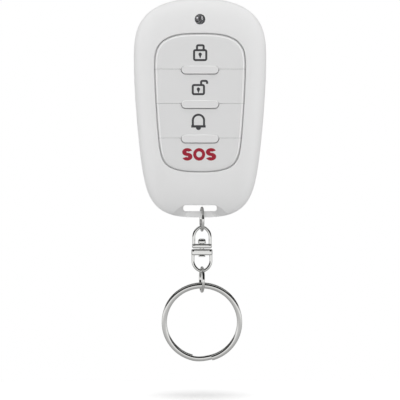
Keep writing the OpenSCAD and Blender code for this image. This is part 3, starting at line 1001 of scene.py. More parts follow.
@dataclass(frozen=True)
class Scoop:
    """A dished hollow that bares the bar on one side of the body.

    Args:
        floor: Depth of its flat floor.
        away: Depth of its far end, before or behind the body.
        face: The face of the body that it is cut into.
        outline: Outline of the body.
        radius: Radius of its lip.
        up: Height of its centre.
        slope: How far its wall leans in for its depth.
        curve: Power of its wall's curve.
        bar_top: Height of the bar's upper edge, which the floor follows.
        bar_flat: Distances from the middle over which the floor leaves the bar.
        bar_from: Sine of the lowest direction in which the floor follows the bar.
        end: Height at which it is cut off.
        rings: Rings of its wall.
        segments: Points in a ring.
    """

    floor: float
    away: float
    face: Dome
    outline: Egg
    radius: float = 11.5
    up: float = -40.5
    slope: float = 0.75
    curve: float = 1.5
    bar_top: float = -31.8
    bar_flat: Pair = (1.8, 8)
    bar_from: float = 0.1
    end: float = -30
    rings: int = 10
    segments: int = 288

    def lip(self, angle: float) -> float:
        """Returns the depth of its lip in a direction from its centre."""
        point = Vector((0, self.up, 0)) + polar(angle, self.radius, 0)
        return self.face.rise(min(1.0, point.length / self.outline.reach(math.atan2(point.y, point.x))))

    def floor_reach(self, angle: float) -> float:
        """Returns how far the floor reaches in a direction.

        Args:
            angle: The direction from its centre.

        Returns:
            The distance, where the floor follows the bar near the middle and its sloped wall elsewhere.
        """
        sloped = self.radius - self.slope * abs(self.lip(angle) - self.floor)
        if math.sin(angle) < self.bar_from:
            return sloped
        level = self.bar_top - self.up
        near, far = self.bar_flat
        share = min(1.0, max(0.0, (abs(level / math.tan(angle)) - near) / (far - near)))
        share *= share * (3 - 2 * share)
        return sloped * share + level / math.sin(angle) * (1 - share)

    def wall_point(self, share: float, angle: float) -> Vector:
        """Returns a point of its wall, about its centre.

        Args:
            share: Place on the wall, from 0 at the floor to 1 at the lip.
            angle: The direction from its centre.

        Returns:
            The point.
        """
        start = self.floor_reach(angle)
        depth = self.floor + (self.lip(angle) - self.floor) * share**self.curve
        return polar(angle, start + (self.radius - start) * share, depth)

    def tool(self) -> BMesh:
        """Makes the solid that cuts it.

        Returns:
            The mesh.
        """
        rings = [partial(self.wall_point, number / self.rings) for number in range(self.rings + 1)]
        mouth = partial(polar, length=self.radius, depth=self.away)
        bm = loft([*rings, mouth], self.segments, hollow=False)
        move(bm, (0, self.up, 0))
        trim(bm, self.end, 1)
        return bm


@dataclass
class Case:
    """The two shells of the body, with the window, the light's hole, the slot and the bar.

    Depths are measured from the flat back.

    Args:
        outline: Outline of the body.
        window: Outline of the opening for the keys.
        cavity: Outline of the hollow.
        front: Outer face of the front shell.
        front_lining: Its inner face.
        back: Outer face of the rear shell.
        back_lining: Its inner face.
        part_line: Depth of the joint between the shells.
        seam: Size of the chamfer along the joint.
        window_round: Radius of the window's edge.
        window_steps: Places of the rings on that edge.
        light_up: Height of the light.
        light_hole: Radius of its hole.
        light_bore: Depths between which the hole is cut.
        light_segments: Points round the hole.
        cap_hole: Opening for the battery cap.
        cap_ledge: Inner edge of the ledge that the cap turns on.
        cap_well: Opening in the inner face.
        ledge_back: Depth of the ledge's back.
        ledge_front: Depth of the ledge's front.
        hole_round: Radius of the edge of the cap's opening.
        hole_steps: Places of the rings on that edge.
        screws: Places of the screws.
        screw_hole: Radius of a screw's seat.
        screw_seat: Depth of a screw's seat.
        slot: Width, height and corner of the slot above the bar.
        slot_up: Height of the slot's middle.
        bar_back: Depth of the bar's back.
        bar_front: Depth of the bar's front.
        segments: Points in a ring.
        dome_rings: Rings of an outer face.
        lining_rings: Rings of an inner face.
    """

    outline: Egg = Egg(20.5, 19.9, 47.9, 14, (2.3, 3.3, 2.9, 10.8, 0.225, 1.6))
    window: Egg = Egg(14.15, 10.1, 32.9, 12.95, (2.96, 3, 2.57, 15.9, 0.162, 1.62))
    cavity: Egg = Egg(18.9, 18.3, 42.3, 14, (2.3, 3.3, 2.9, 10.8, 0.225, 1.6))
    front: Dome = Dome(7.5, 13, 1 - 6.5 / 20.5)
    front_lining: Dome = Dome(7.5, 11.4, 1 - 6.5 / 20.5)
    back: Dome = Dome(4.5, 0, 1 - 4.5 / 20.5)
    back_lining: Dome = Dome(4.5, 1.6, 1 - 4.5 / 20.5)
    part_line: float = 6
    seam: float = 0.14
    window_round: float = 0.35
    window_steps: tuple[float, ...] = (0.25, 0.5, 0.75, 1)
    light_up: float = 27.35
    light_hole: float = 1.65
    light_bore: Pair = (6, 15)
    light_segments: int = 72
    cap_hole: Circle = Circle(12.7, 6)
    cap_ledge: Circle = Circle(11.1, 6)
    cap_well: Circle = Circle(14, 6)
    ledge_back: float = 1.5
    ledge_front: float = 2.3
    hole_round: float = 0.25
    hole_steps: tuple[float, ...] = (0.33, 0.67, 1)
    screws: tuple[Pair, ...] = ((-13.2, 24.3), (13.2, 24.3), (0, -24.2))
    screw_hole: float = 1.9
    screw_seat: float = 2.2
    slot: Triple = (10.4, 1.85, 0.75)
    slot_up: float = -31.025
    bar_back: float = 3.3
    bar_front: float = 5.5
    segments: int = 288
    dome_rings: int = 26
    lining_rings: int = 8

    def skin(self, side: int, opening: Outline, face: Dome) -> list[Ring]:
        """Returns the rings of a shell's outside, from the joint to its opening.

        Args:
            side: 1 for the front shell, -1 for the rear one.
            opening: Outline of the opening.
            face: Outer face of the shell.

        Returns:
            The rings.
        """
        outer = self.outline.reach
        chamfer = [
            ring_at(self.outline.grown(-self.seam).reach, self.part_line),
            ring_at(outer, self.part_line + side * self.seam),
        ]
        rings = [partial(dome_point, opening, outer, face, step) for step in spaced(self.dome_rings)]
        return chamfer + rings

    def lining(self, opening: Outline, face: Dome) -> list[Ring]:
        """Returns the rings of a shell's inside, from its opening to the joint.

        Args:
            opening: Outline of the opening.
            face: Inner face of the shell.

        Returns:
            The rings.
        """
        inner = self.cavity.reach
        steps = reversed(spaced(self.lining_rings))
        rings = [partial(dome_point, opening, inner, face, step) for step in steps]
        return [*rings, ring_at(inner, self.part_line)]

    def window_point(self, grow: float, drop: float, angle: float) -> Vector:
        """Returns a point on the rounded edge of the window.

        Args:
            grow: Distance outside the window.
            drop: Distance below the face of the shell there.
            angle: Direction of the point.

        Returns:
            The point.
        """
        length = self.window.grown(grow).reach(angle)
        return polar(angle, length, self.front.rise(length / self.outline.reach(angle)) - drop)

    def front_scoop(self) -> BMesh:
        """Returns the solid that cuts the scoop in the front, which reaches both shells."""
        return Scoop(self.bar_front, self.front.top + CLEAR, self.front, self.outline).tool()

    def slot_tool(self) -> BMesh:
        """Returns the solid that cuts the slot."""
        slot = prism(lambda flat: draw_pill(flat, *self.slot), -CLEAR, self.front.top + CLEAR)
        return move(slot, (0, self.slot_up, 0))

    def build_front(self) -> bpy.types.Object:
        """Makes the front shell.

        Returns:
            The piece.
        """
        rings = self.skin(1, self.window.grown(self.window_round).reach, self.front)
        for grow, drop in quarter(self.window_round, self.window_steps):
            rings.append(partial(self.window_point, grow, drop))
        rings += self.lining(self.window.reach, self.front_lining)
        hole = prism(lambda flat: draw_disc(flat, self.light_hole, self.light_segments), *self.light_bore)
        move(hole, (0, self.light_up, 0))
        tools = [hole, self.front_scoop(), self.slot_tool()]
        shell = stand_up(carve(loft(rings, self.segments), tools, Carve.CUT))
        return finish_piece(shell, "cover_front", SHELL, Body.FOB, ["front_shell"])

    def build_rear(self) -> bpy.types.Object:
        """Makes the rear shell.

        Returns:
            The piece.
        """
        rings = self.skin(-1, self.cap_hole.grown(self.hole_round).reach, self.back)
        for grow, drop in quarter(self.hole_round, self.hole_steps):
            rings.append(ring_at(self.cap_hole.grown(grow).reach, drop))
        rings += [
            ring_at(self.cap_hole.reach, self.ledge_back),
            ring_at(self.cap_ledge.reach, self.ledge_back),
            ring_at(self.cap_ledge.reach, self.ledge_front),
            ring_at(self.cap_well.reach, self.ledge_front),
        ]
        rings += self.lining(self.cap_well.reach, self.back_lining)
        seats = [
            move(prism(lambda flat: draw_disc(flat, self.screw_hole), -CLEAR, self.screw_seat), (*place, 0))
            for place in self.screws
        ]
        back_scoop = Scoop(self.bar_back, -CLEAR, self.back, self.outline).tool()
        tools = [*seats, self.slot_tool(), back_scoop, self.front_scoop()]
        shell = stand_up(carve(loft(rings, self.segments), tools, Carve.CUT))
        return finish_piece(shell, "cover_rear", SHELL, Body.FOB, ["rear_shell"])


@dataclass
class Key:
    """One key: a flat cap with soft edges, and the finger ridge that hangs over the key below.

    Args:
        node: The solid that it stands for.
        body: The body that it moves with.
        top: Height of its upper edge.
        bottom: Height of its lower edge.
        ridge_below: Whether it carries a ridge at its lower edge.
        ridge_above: Whether the key above hangs a ridge into it.
        window: Outline of the opening in the shell.
        gap: Gap between the cap and the window.
        sag: How far the keys hang below the window's middle.
        skirt_gap: Gap between the skirt under the cap and the window.
        skirt_drop: Distance of the skirt below the face.
        divide: Gap between two keys.
        notch: Gap round a ridge that hangs into the key.
        face: Depth of the face.
        foot: Depth of the back.
        rim: Thickness of the rim that holds the key in.
        rim_reach: How far the rim reaches under the shell.
        ridge: Length and height of a ridge.
        ridge_drop: Distance of a ridge's middle below the divide.
        rise: How far a ridge stands up from the face.
        lean: Share of the rise that a ridge loses towards its own key.
        crown: How far the face falls at its edge.
        crown_wide: Width over which it falls.
        edge_round: Radius of the edge along the window.
        edge_steps: Points on that edge.
        edge_turn: Degrees between two of them.
        crown_steps: Rings over which the face falls.
        divide_round: Radius of the edges along the divides.
        ridge_deep: How far a ridge starts below the face.
        notch_deep: Depth of the notch.
        ridge_round: Radius of a ridge's edges.
        end_gap: Width of the groove round each end of a ridge.
        end_deep: Depth of that groove.
        end_shift: How far the groove lies below the ridge's middle.
        flare: Size of the chamfer along the notch.
        segments: Points in a ring.
    """

    node: str
    body: Body
    top: float
    bottom: float
    ridge_below: bool
    ridge_above: bool
    window: Egg = Case.window
    gap: float = 0.34
    sag: float = 0.05
    skirt_gap: float = 0.1
    skirt_drop: float = 1.2
    divide: float = 0.07
    notch: float = 0.24
    face: float = 12.95
    foot: float = 10.3
    rim: float = 0.7
    rim_reach: float = 0.6
    ridge: Pair = (11.4, 2.45)
    ridge_drop: float = 0.22
    rise: float = 0.42
    lean: float = 0.8
    crown: float = 0.3
    crown_wide: float = 1.8
    edge_round: float = 0.42
    edge_steps: int = 4
    edge_turn: float = 25
    crown_steps: int = 6
    divide_round: float = 0.2
    ridge_deep: float = 0.8
    notch_deep: float = 1.6
    ridge_round: float = 0.15
    end_gap: float = 0.2
    end_deep: float = 0.5
    end_shift: float = 0.17
    flare: float = 0.05
    segments: int = 256

    def crown_drop(self, inside: float) -> float:
        """Returns how far the face falls at a distance inside its edge."""
        return self.crown * max(0.0, 1 - inside / self.crown_wide) ** 2

    def blank(self) -> BMesh:
        """Makes the four keys as one piece: a rim, a skirt and a face that falls away near its edge.

        Returns:
            The mesh.
        """
        edge = self.face - self.crown_drop(self.edge_round) - self.edge_round
        corners = [
            (self.rim_reach, self.foot),
            (self.rim_reach, self.foot + self.rim),
            (-self.skirt_gap, self.foot + self.rim),
            (-self.skirt_gap, self.face - self.skirt_drop),
            (-self.gap, self.face - self.skirt_drop),
        ]
        for number in range(self.edge_steps):
            angle = math.radians(self.edge_turn * number)
            inside = self.edge_round * (1 - math.cos(angle))
            corners.append((-self.gap - inside, edge + self.edge_round * math.sin(angle)))
        for number in range(1, self.crown_steps + 1):
            inside = self.edge_round + (self.crown_wide - self.edge_round) * number / self.crown_steps
            corners.append((-self.gap - inside, self.face - self.crown_drop(inside)))
        rings = [ring_at(self.window.grown(grow).reach, depth) for grow, depth in corners]
        return move(loft(rings, self.segments, hollow=False), (0, -self.sag, 0))

    def on_divide(self, heights: Pair, edge: BMEdge) -> bool:
        """Says whether an edge of the face lies along a divide.

        Args:
            heights: Heights of the two divides.
            edge: The edge.

        Returns:
            True if it does.
        """
        low = self.face - self.crown / 2
        return any(all(abs(v.co.y - h) < NEAR and v.co.z > low for v in edge.verts) for h in heights)

    def cut_out(self) -> BMesh:
        """Cuts this key out of the blank, with soft edges along the divides.

        Returns:
            The mesh.
        """
        bm = self.blank()
        heights = (self.top - self.divide / 2, self.bottom + self.divide / 2)
        for height, side in zip(heights, (1, -1)):
            trim(bm, height, side)
        round_edges(bm, self.divide_round, keep=partial(self.on_divide, heights))
        return bm

    def tongue(self, grow: float, low: float, high: float, up: float) -> BMesh:
        """Returns a level bar with round ends.

        Args:
            grow: Distance outside the ridge.
            low: Depth of its back.
            high: Depth of its front.
            up: Height of its middle.

        Returns:
            The bar.
        """
        width, height = self.ridge
        bar = prism(lambda flat: draw_pill(flat, width + 2 * grow, height + 2 * grow), low, high)
        return move(bar, (0, up, 0))

    def ridge_bar(self) -> BMesh:
        """Makes the finger ridge, whose face sinks towards the key that carries it.

        Returns:
            The mesh.
        """
        crest = self.face + self.rise
        middle = self.bottom - self.ridge_drop
        bm = self.tongue(0, self.face - self.ridge_deep, crest, middle)
        for vert in bm.verts:
            if vert.co.z > crest - NEAR:
                above = (vert.co.y - middle) / self.ridge[1] + 0.5
                vert.co.z -= self.lean * self.rise * above
        round_edges(bm, self.ridge_round, keep=lambda edge: all(v.co.z > self.face for v in edge.verts))
        return bm

    def end_groove(self, side: int) -> BMesh:
        """Makes the solid that cuts a groove round one end of the ridge.

        Args:
            side: -1 for the left end, 1 for the right one.

        Returns:
            The solid.
        """
        width, height = self.ridge
        radius = height / 2 + self.end_gap
        bm = prism(lambda flat: draw_disc(flat, radius), self.face - self.end_deep, self.face + CLEAR)
        return move(bm, (side * (width - height) / 2, self.bottom - self.ridge_drop - self.end_shift, 0))

    def notch_tool(self) -> BMesh:
        """Makes the solid that cuts the notch for the ridge above, flared at the face.

        Returns:
            The mesh.
        """
        middle = self.top - self.ridge_drop
        bm = self.tongue(self.notch, self.face - self.notch_deep, self.face - self.flare, middle)
        bm.normal_update()
        top = [face for face in bm.faces if face.normal.z > FACING]
        lifted = bmesh.ops.extrude_face_region(bm, geom=top)
        bmesh.ops.delete(bm, geom=top, context="FACES_ONLY")
        half = (self.ridge[0] - self.ridge[1]) / 2
        for vert in verts_of(lifted["geom"]):
            spine = Vector((max(-half, min(half, vert.co.x)), middle, vert.co.z))
            # The chamfer starts as far below the face as it ends above it
            vert.co += ((vert.co - spine).normalized() + UP) * 2 * self.flare
        close_up(bm)
        return bm

    def build(self) -> bpy.types.Object:
        """Makes the finished key.

        Returns:
            The piece.
        """
        cap = self.cut_out()
        if self.ridge_below:
            cap = carve(cap, [self.end_groove(side) for side in (-1, 1)], Carve.CUT)
            cap = carve(cap, [self.ridge_bar()], Carve.JOIN)
        if self.ridge_above:
            cap = carve(cap, [self.notch_tool()], Carve.CUT)
        return finish_piece(stand_up(cap), f"{self.node}_cap", KEY, self.body, [self.node])


@dataclass
class Mark:
    """A printed mark on a key: a few strokes of even width.

    Args:
        name: Name of the piece.
        body: The key that carries it.
        finish: Its ink.
        line: Width of a stroke.
        face: Depth of the key's face.
        film: Thickness of the ink.
        sunk: How far the ink reaches into the face.
        bm: The drawing.
    """

    name: str
    body: Body
    finish: Finish = INK
    line: float = 0.64
    face: float = Key.face
    film: float = 0.03
    sunk: float = 0.01
    bm: BMesh = field(default_factory=bmesh.new)

    def draw(self) -> None:
        """Draws the strokes, as each kind of mark says."""
        raise NotImplementedError

    def build(self) -> bpy.types.Object:
        """Makes the finished mark.

        Returns:
            The piece.
        """
        self.draw()
        close_up(self.bm)
        move(self.bm, (0, 0, self.face - self.sunk))
        raise_faces(self.bm, self.film)
        return finish_piece(stand_up(self.bm), self.name, self.finish, self.body)


@dataclass
class LockMark(Mark):
    """A padlock, closed unless its sizes say otherwise.

    Args:
        middle: Middle of its case.
        size: Outer width and height of its case.
        corner: Outer radius of the case's corners.
        foot: Where the shackle leaves the case.
        runs: Straight runs of the shackle: up, across and down.
        bend: Radius of the shackle's bends.
        swing: Degrees of each bend, to the left if positive.
        hole: Middle of the keyhole.
        dot: Radius of the keyhole.
        dot_points: Points round the keyhole.
        pinch: Share of its width that the keyhole loses towards its foot, and the power of that.
        drop: Length of the keyhole's foot, and the power of its taper.
    """

    middle: Pair = (0.05, 16.25)
    size: Pair = (4.4, 3.7)
    corner: float = 0.75
    foot: Pair = (1.13, 18.1)
    runs: Triple = (0.77, 1.22, 0.77)
    bend: float = 0.42
    swing: float = 90
    hole: Pair = (0.05, 16.5)
    dot: float = 0.52
    dot_points: int = 24
    pinch: Pair = (0.62, 1.5)
    drop: Pair = (0.75, 2)

    def draw(self) -> None:
        """Draws the case, the shackle and the keyhole."""
        across, along = (side - 2 * self.corner for side in self.size)
        start = (self.middle[0] - across / 2, self.middle[1] - self.size[1] / 2 + self.line / 2)
        case = Sweep.stroke(self.bm, self.line, start, 0)
        for run in (across, along, across, along):
            case.forward(run).turn(self.corner - self.line / 2, 90)
        up, over, down = self.runs
        shackle = Sweep.stroke(self.bm, self.line, self.foot, 90).forward(up)
        shackle.turn(self.bend, self.swing).forward(over).turn(self.bend, self.swing).forward(down)
        self.keyhole()

    def keyhole(self) -> None:
        """Draws the keyhole: a dot with a tapered foot below its middle."""
        made = bmesh.ops.create_circle(self.bm, cap_ends=True, segments=self.dot_points, radius=self.dot)
        for vert in made["verts"]:
            below = max(0.0, -vert.co.y / self.dot)
            vert.co.x *= 1 - self.pinch[0] * below ** self.pinch[1]
            vert.co.y -= self.drop[0] * below ** self.drop[1]
            vert.co += Vector((*self.hole, 0))


@dataclass
class BellMark(Mark):
    """A bell on its rim, with the clapper below.

    Args:
        foot: Left foot of the bell.
        side: Height of its straight sides.
        dome: Radius of its dome.
        rim: Left end of the rim.
        rim_wide: Length of the rim.
        rim_line: Width of the rim's stroke.
        clapper: Middle of the clapper's flat top.
        clapper_radius: Radius of the clapper.
        clapper_points: Points of its whole circle.
    """

    foot: Pair = (-2.21, -5.4)
    side: float = 1.5
    dome: float = 1.73
    rim: Pair = (-2.71, -5.76)
    rim_wide: float = 4.46
    rim_line: float = 0.72
    clapper: Pair = (-0.48, -6.12)
    clapper_radius: float = 0.78
    clapper_points: int = 32

    def draw(self) -> None:
        """Draws the bell, its rim and the lower half of the clapper."""
        bell = Sweep.stroke(self.bm, self.line, self.foot, 90)
        bell.forward(self.side).turn(self.dome, -180).forward(self.side)
        Sweep.stroke(self.bm, self.rim_line, self.rim, 0).forward(self.rim_wide)
        made = bmesh.ops.create_circle(
            self.bm, cap_ends=True, segments=self.clapper_points, radius=self.clapper_radius
        )
        across, up = self.clapper
        for vert in made["verts"]:
            vert.co = Vector((vert.co.x + across, up + min(0.0, vert.co.y), 0))


@dataclass
class DistressMark(Mark):
    """The three letters of the general distress call in plain bold strokes.

    Args:
        up: Height of their middle.
        curls: Places of the two outer letters across the key.
        bend: Radius of their bends.
        sweep: Degrees of each bend.
        start: Degrees round the upper bend at which the stroke starts.
        curl_wide: How much wider they are than their bends.
        round_at: Place of the middle letter.
        round_bend: Radius of the middle letter.
        round_wide: How much wider it is than its radius.
    """

    up: float = -14.4
    curls: Pair = (-3.92, 3.4)
    bend: float = 0.71
    sweep: float = 248
    start: float = 22
    curl_wide: float = 1.31
    round_at: float = -0.26
    round_bend: float = 1.43
    round_wide: float = 0.96

    def place_letter(self, letter: BMesh, wide: float, across: float) -> None:
        """Adds a letter to the drawing.

        Args:
            letter: The letter, drawn about the origin.
            wide: Its scale in width.
            across: Its place across the key.
        """
        spread(letter, (wide, 1, 1))
        move(letter, (across, self.up, 0))
        take(self.bm, letter)

    def draw(self) -> None:
        """Draws the outer letters and then the middle one."""
        angle = math.radians(self.start)
        tip = (self.bend * math.cos(angle), self.bend + self.bend * math.sin(angle))
        for across in self.curls:
            letter = bmesh.new()
            pen = Sweep.stroke(letter, self.line, tip, self.start + 90)
            pen.turn(self.bend, self.sweep).turn(self.bend, -self.sweep)
            self.place_letter(letter, self.curl_wide, across)
        letter = bmesh.new()
        pen = Sweep.stroke(letter, self.line, (self.round_bend, 0), 90)
        pen.turn(self.round_bend, 180).turn(self.round_bend, 180)
        self.place_letter(letter, self.round_wide, self.round_at)


@dataclass
class Keypad:
    """The four keys from the top down, and what is printed on them.

    Args:
        keys: The solid and the body of each key.
        heights: Heights of the keys' edges.
    """

    keys: tuple[tuple[str, Body], ...] = (
        ("arm_key", Body.ARM),
        ("disarm_key", Body.DISARM),
        ("bell_key", Body.BELL),
        ("sos_key", Body.SOS),
    )
    heights: tuple[float, ...] = (40, 11.95, 1.3, -9.35, -40)

    def build(self) -> None:
        """Builds the keys and their marks."""
        last = len(self.keys) - 1
        for number, (node, body) in enumerate(self.keys):
            top, bottom = self.heights[number : number + 2]
            Key(node, body, top, bottom, number < last, number > 0).build()
        LockMark("mark_lock", Body.ARM).build()
        LockMark(
            "mark_unlock",
            Body.DISARM,
            middle=(-0.5, 5.6),
            size=(4.1, 3.45),
            foot=(0.35, 7.325),
            runs=(0.55, 1, 0.5),
            swing=-90,
            hole=(-0.5, 5.75),
        ).build()
        BellMark("mark_bell", Body.BELL).build()
        DistressMark("mark_sos", Body.SOS, RED_INK, line=1.02).build()


@dataclass
class StatusLight:
    """The status light: a clear lens over the blades of its lead frame, the die and clouded resin.

    Depths inside the lens are measured down from the shoulder, where its dome starts.

    Args:
        up: Height of its axis.
        radius: Radius of the lens.
        collar: Radius of the collar.
        collar_back: Depth of the collar's back.
        collar_thick: Thickness of the collar.
        tip: Depth of the lens's tip.
        dome_steps: Rings of the dome.
        blades: Width and height of the left blade and of the right one.
        blade_gap: Gap between the blades.
        blade_up: Height of the blades' middle above the axis.
        blade_corner: Radius of a blade's corners.
        blade_span: Depths of a blade's back and front.
        blade_round: Radius of a blade's edges.
        die_wide: Width of the die's strokes.
        die_rays: Direction and length of each stroke.
        die_back: Depth of the die's back.
        die_thick: Thickness of the die.
        seat_gap: Gap between the resin and the lens.
        seat_back: Depth of the resin's back.
        seat_lip: Width and height of the resin's raised edge.
        seat_thick: Thickness of the resin.
        seat_points: Points round the resin.
    """

    up: float = Case.light_up
    radius: float = 1.5
    collar: float = 1.8
    collar_back: float = 8.483
    collar_thick: float = 0.8
    tip: float = 12.483
    dome_steps: int = 12
    blades: tuple[Pair, Pair] = ((0.45, 0.5), (0.35, 0.75))
    blade_gap: float = 0.42
    blade_up: float = 0.25
    blade_corner: float = 0.15
    blade_span: Pair = (0.9, 0.3)
    blade_round: float = 0.1
    die_wide: float = 0.26
    die_rays: tuple[Pair, ...] = ((95, 0.42), (235, 0.55), (305, 0.55))
    die_back: float = 0.35
    die_thick: float = 0.2
    seat_gap: float = 0.1
    seat_back: float = 1.2
    seat_lip: Pair = (0.4, 0.5)
    seat_thick: float = 0.3
    seat_points: int = 64

    @property
    def shoulder(self) -> float:
        """Depth at which the dome starts."""
        return self.tip - self.radius

    def lens(self) -> BMesh:
        """Makes the lens with its collar.

        Returns:
            The mesh.
        """
        profile = [
            (0, self.collar_back),
            (self.collar, self.collar_back),
            (self.collar, self.collar_back + self.collar_thick),
            (self.radius, self.collar_back + self.collar_thick),
            (self.radius, self.shoulder),
        ]
        for number in range(1, self.dome_steps + 1):
            angle = math.pi / 2 * number / self.dome_steps
            profile.append((self.radius * math.cos(angle), self.shoulder + self.radius * math.sin(angle)))
        return move(lathe(profile), (0, self.up, 0))

    def blade(self, side: int) -> BMesh:
        """Makes one blade of the lead frame.

        Args:
            side: -1 for the broad left blade, 1 for the narrow right one.

        Returns:
            The blade.
        """
        width, height = self.blades[side > 0]
        back, front = (self.shoulder - depth for depth in self.blade_span)
        bm = prism(lambda flat: draw_pill(flat, width, height, self.blade_corner), back, front)
        round_edges(bm, self.blade_round, 2)
        return move(bm, (side * (self.blade_gap + width) / 2, self.up + self.blade_up, 0))

    def die(self) -> BMesh:
        """Makes the dark die and its wires, as three strokes that meet.

        Returns:
            The mesh.
        """
        bm = bmesh.new()
        for degrees, length in self.die_rays:
            Sweep.stroke(bm, self.die_wide, (0, 0), degrees).forward(length)
        raise_faces(bm, self.die_thick)
        return move(bm, (0, self.up, self.shoulder - self.die_back))

    def seat(self) -> BMesh:
        """Makes the clouded resin under the blades.

        Returns:
            The mesh.
        """
        radius = self.radius - self.seat_gap
        low = self.shoulder - self.seat_back
        lip_wide, lip_high = self.seat_lip
        profile = [
            (0, low),
            (radius, low),
            (radius, low + lip_high),
            (radius - lip_wide, low + self.seat_thick),
            (0, low + self.seat_thick),
        ]
        return move(lathe(profile, self.seat_points), (0, self.up, 0))

    def build(self) -> list[bpy.types.Object]:
        """Makes the lens and what shows inside it.

        Returns:
            The pieces.
        """
        pieces = (
            (self.lens(), "light_lens", LENS, "led_lens", ["status_led"]),
            (self.blade(-1), "light_anvil", LEAD_FRAME, "tinned_steel", []),
            (self.blade(1), "light_post", LEAD_FRAME, "tinned_steel", []),
            (self.die(), "light_die", DIE, "tinned_steel", []),
            (self.seat(), "light_seat", CLOUDED, "led_lens", []),
        )
        return [
            finish_piece(stand_up(bm), name, finish, Body.FOB, nodes, DRAWN)
            for bm, name, finish, slot, nodes in pieces
        ]


@dataclass
class BackFittings:
    """The battery cap with its coin groove, and the three screws.

    Args:
        cap_up: Height of the cap's axis.
        cap_radius: Radius of the cap.
        cap_back: Depth of its back.
        cap_front: Depth of its front.
        cap_round: Radius of its edges.
        cap_points: Points round the cap.
        skirt: Outer radius of its skirt.
        skirt_wall: Wall of the skirt.
        skirt_front: Depth of the skirt's end.
        groove: Length and width of the coin groove.
        groove_front: Depth of the groove's floor.
        screws: Places of the screws.
        head: Radius of a head.
        head_back: Depth of a head's back.
        head_front: Depth of a head's front.
        head_round: Radius of a head's edge.
        shank: Radius of a shank.
        shank_front: Depth of a shank's tip.
        shank_tip: Length of that tip.
        screw_points: Points round a screw.
        cross: Length and width of the cross in a head.
        cross_deep: Depth of the cross.
    """

    cap_up: float = 6
    cap_radius: float = 12.5
    cap_back: float = 0.2
    cap_front: float = 1.4
    cap_round: float = 0.25
    cap_points: int = 192
    skirt: float = 10.9
    skirt_wall: float = 0.7
    skirt_front: float = 3.1
    groove: Pair = (17.8, 1.8)
    groove_front: float = 0.9
    screws: tuple[Pair, ...] = Case.screws
    head: float = 1.7
    head_back: float = 1
    head_front: float = 2.2
    head_round: float = 0.25
    shank: float = 0.8
    shank_front: float = 9.2
    shank_tip: float = 0.6
    screw_points: int = 48
    cross: Pair = (2.1, 0.5)
    cross_deep: float = 0.7

    def build_cap(self) -> bpy.types.Object:
        """Makes the battery cap.

        Returns:
            The piece.
        """
        inside = self.skirt - self.skirt_wall
        profile = [
            (0, self.cap_back),
            (self.cap_radius, self.cap_back),
            (self.cap_radius, self.cap_front),
            (self.skirt, self.cap_front),
            (self.skirt, self.skirt_front),
            (inside, self.skirt_front),
            (inside, self.cap_front),
            (0, self.cap_front),
        ]
        cap = lathe(profile, self.cap_points)
        round_edges(cap, self.cap_round)
        groove = prism(lambda flat: draw_pill(flat, *self.groove), self.cap_back - CLEAR, self.groove_front)
        cap = move(carve(cap, [groove], Carve.CUT), (0, self.cap_up, 0))
        return finish_piece(stand_up(cap), "cap_disc", SHELL, Body.CAP, ["battery_cap"])

    def screw(self) -> BMesh:
        """Makes one screw about the origin.

        Returns:
            The mesh.
        """
        profile = [
            (0, self.head_back),
            (self.head, self.head_back),
            (self.head, self.head_front),
            (self.shank, self.head_front),
            (self.shank, self.shank_front - self.shank_tip),
            (0, self.shank_front),
        ]
        bm = lathe(profile, self.screw_points)
        low = self.head_back + NEAR
        round_edges(bm, self.head_round, keep=lambda edge: all(v.co.z < low for v in edge.verts))
        back, floor = self.head_back - CLEAR, self.head_back + self.cross_deep
        cuts = [prism(lambda flat: draw_pill(flat, *self.cross), back, floor) for _ in range(2)]
        rotate(cuts[1], 90, "Z")
        return carve(bm, cuts, Carve.CUT)

    def build_screws(self) -> bpy.types.Object:
        """Makes the three screws.

        Returns:
            The piece.
        """
        screws = bmesh.new()
        for place in self.screws:
            take(screws, move(self.screw(), (*place, 0)))
        return finish_piece(stand_up(screws), "screw_set", ZINC, Body.FOB, ["shell_screws"])


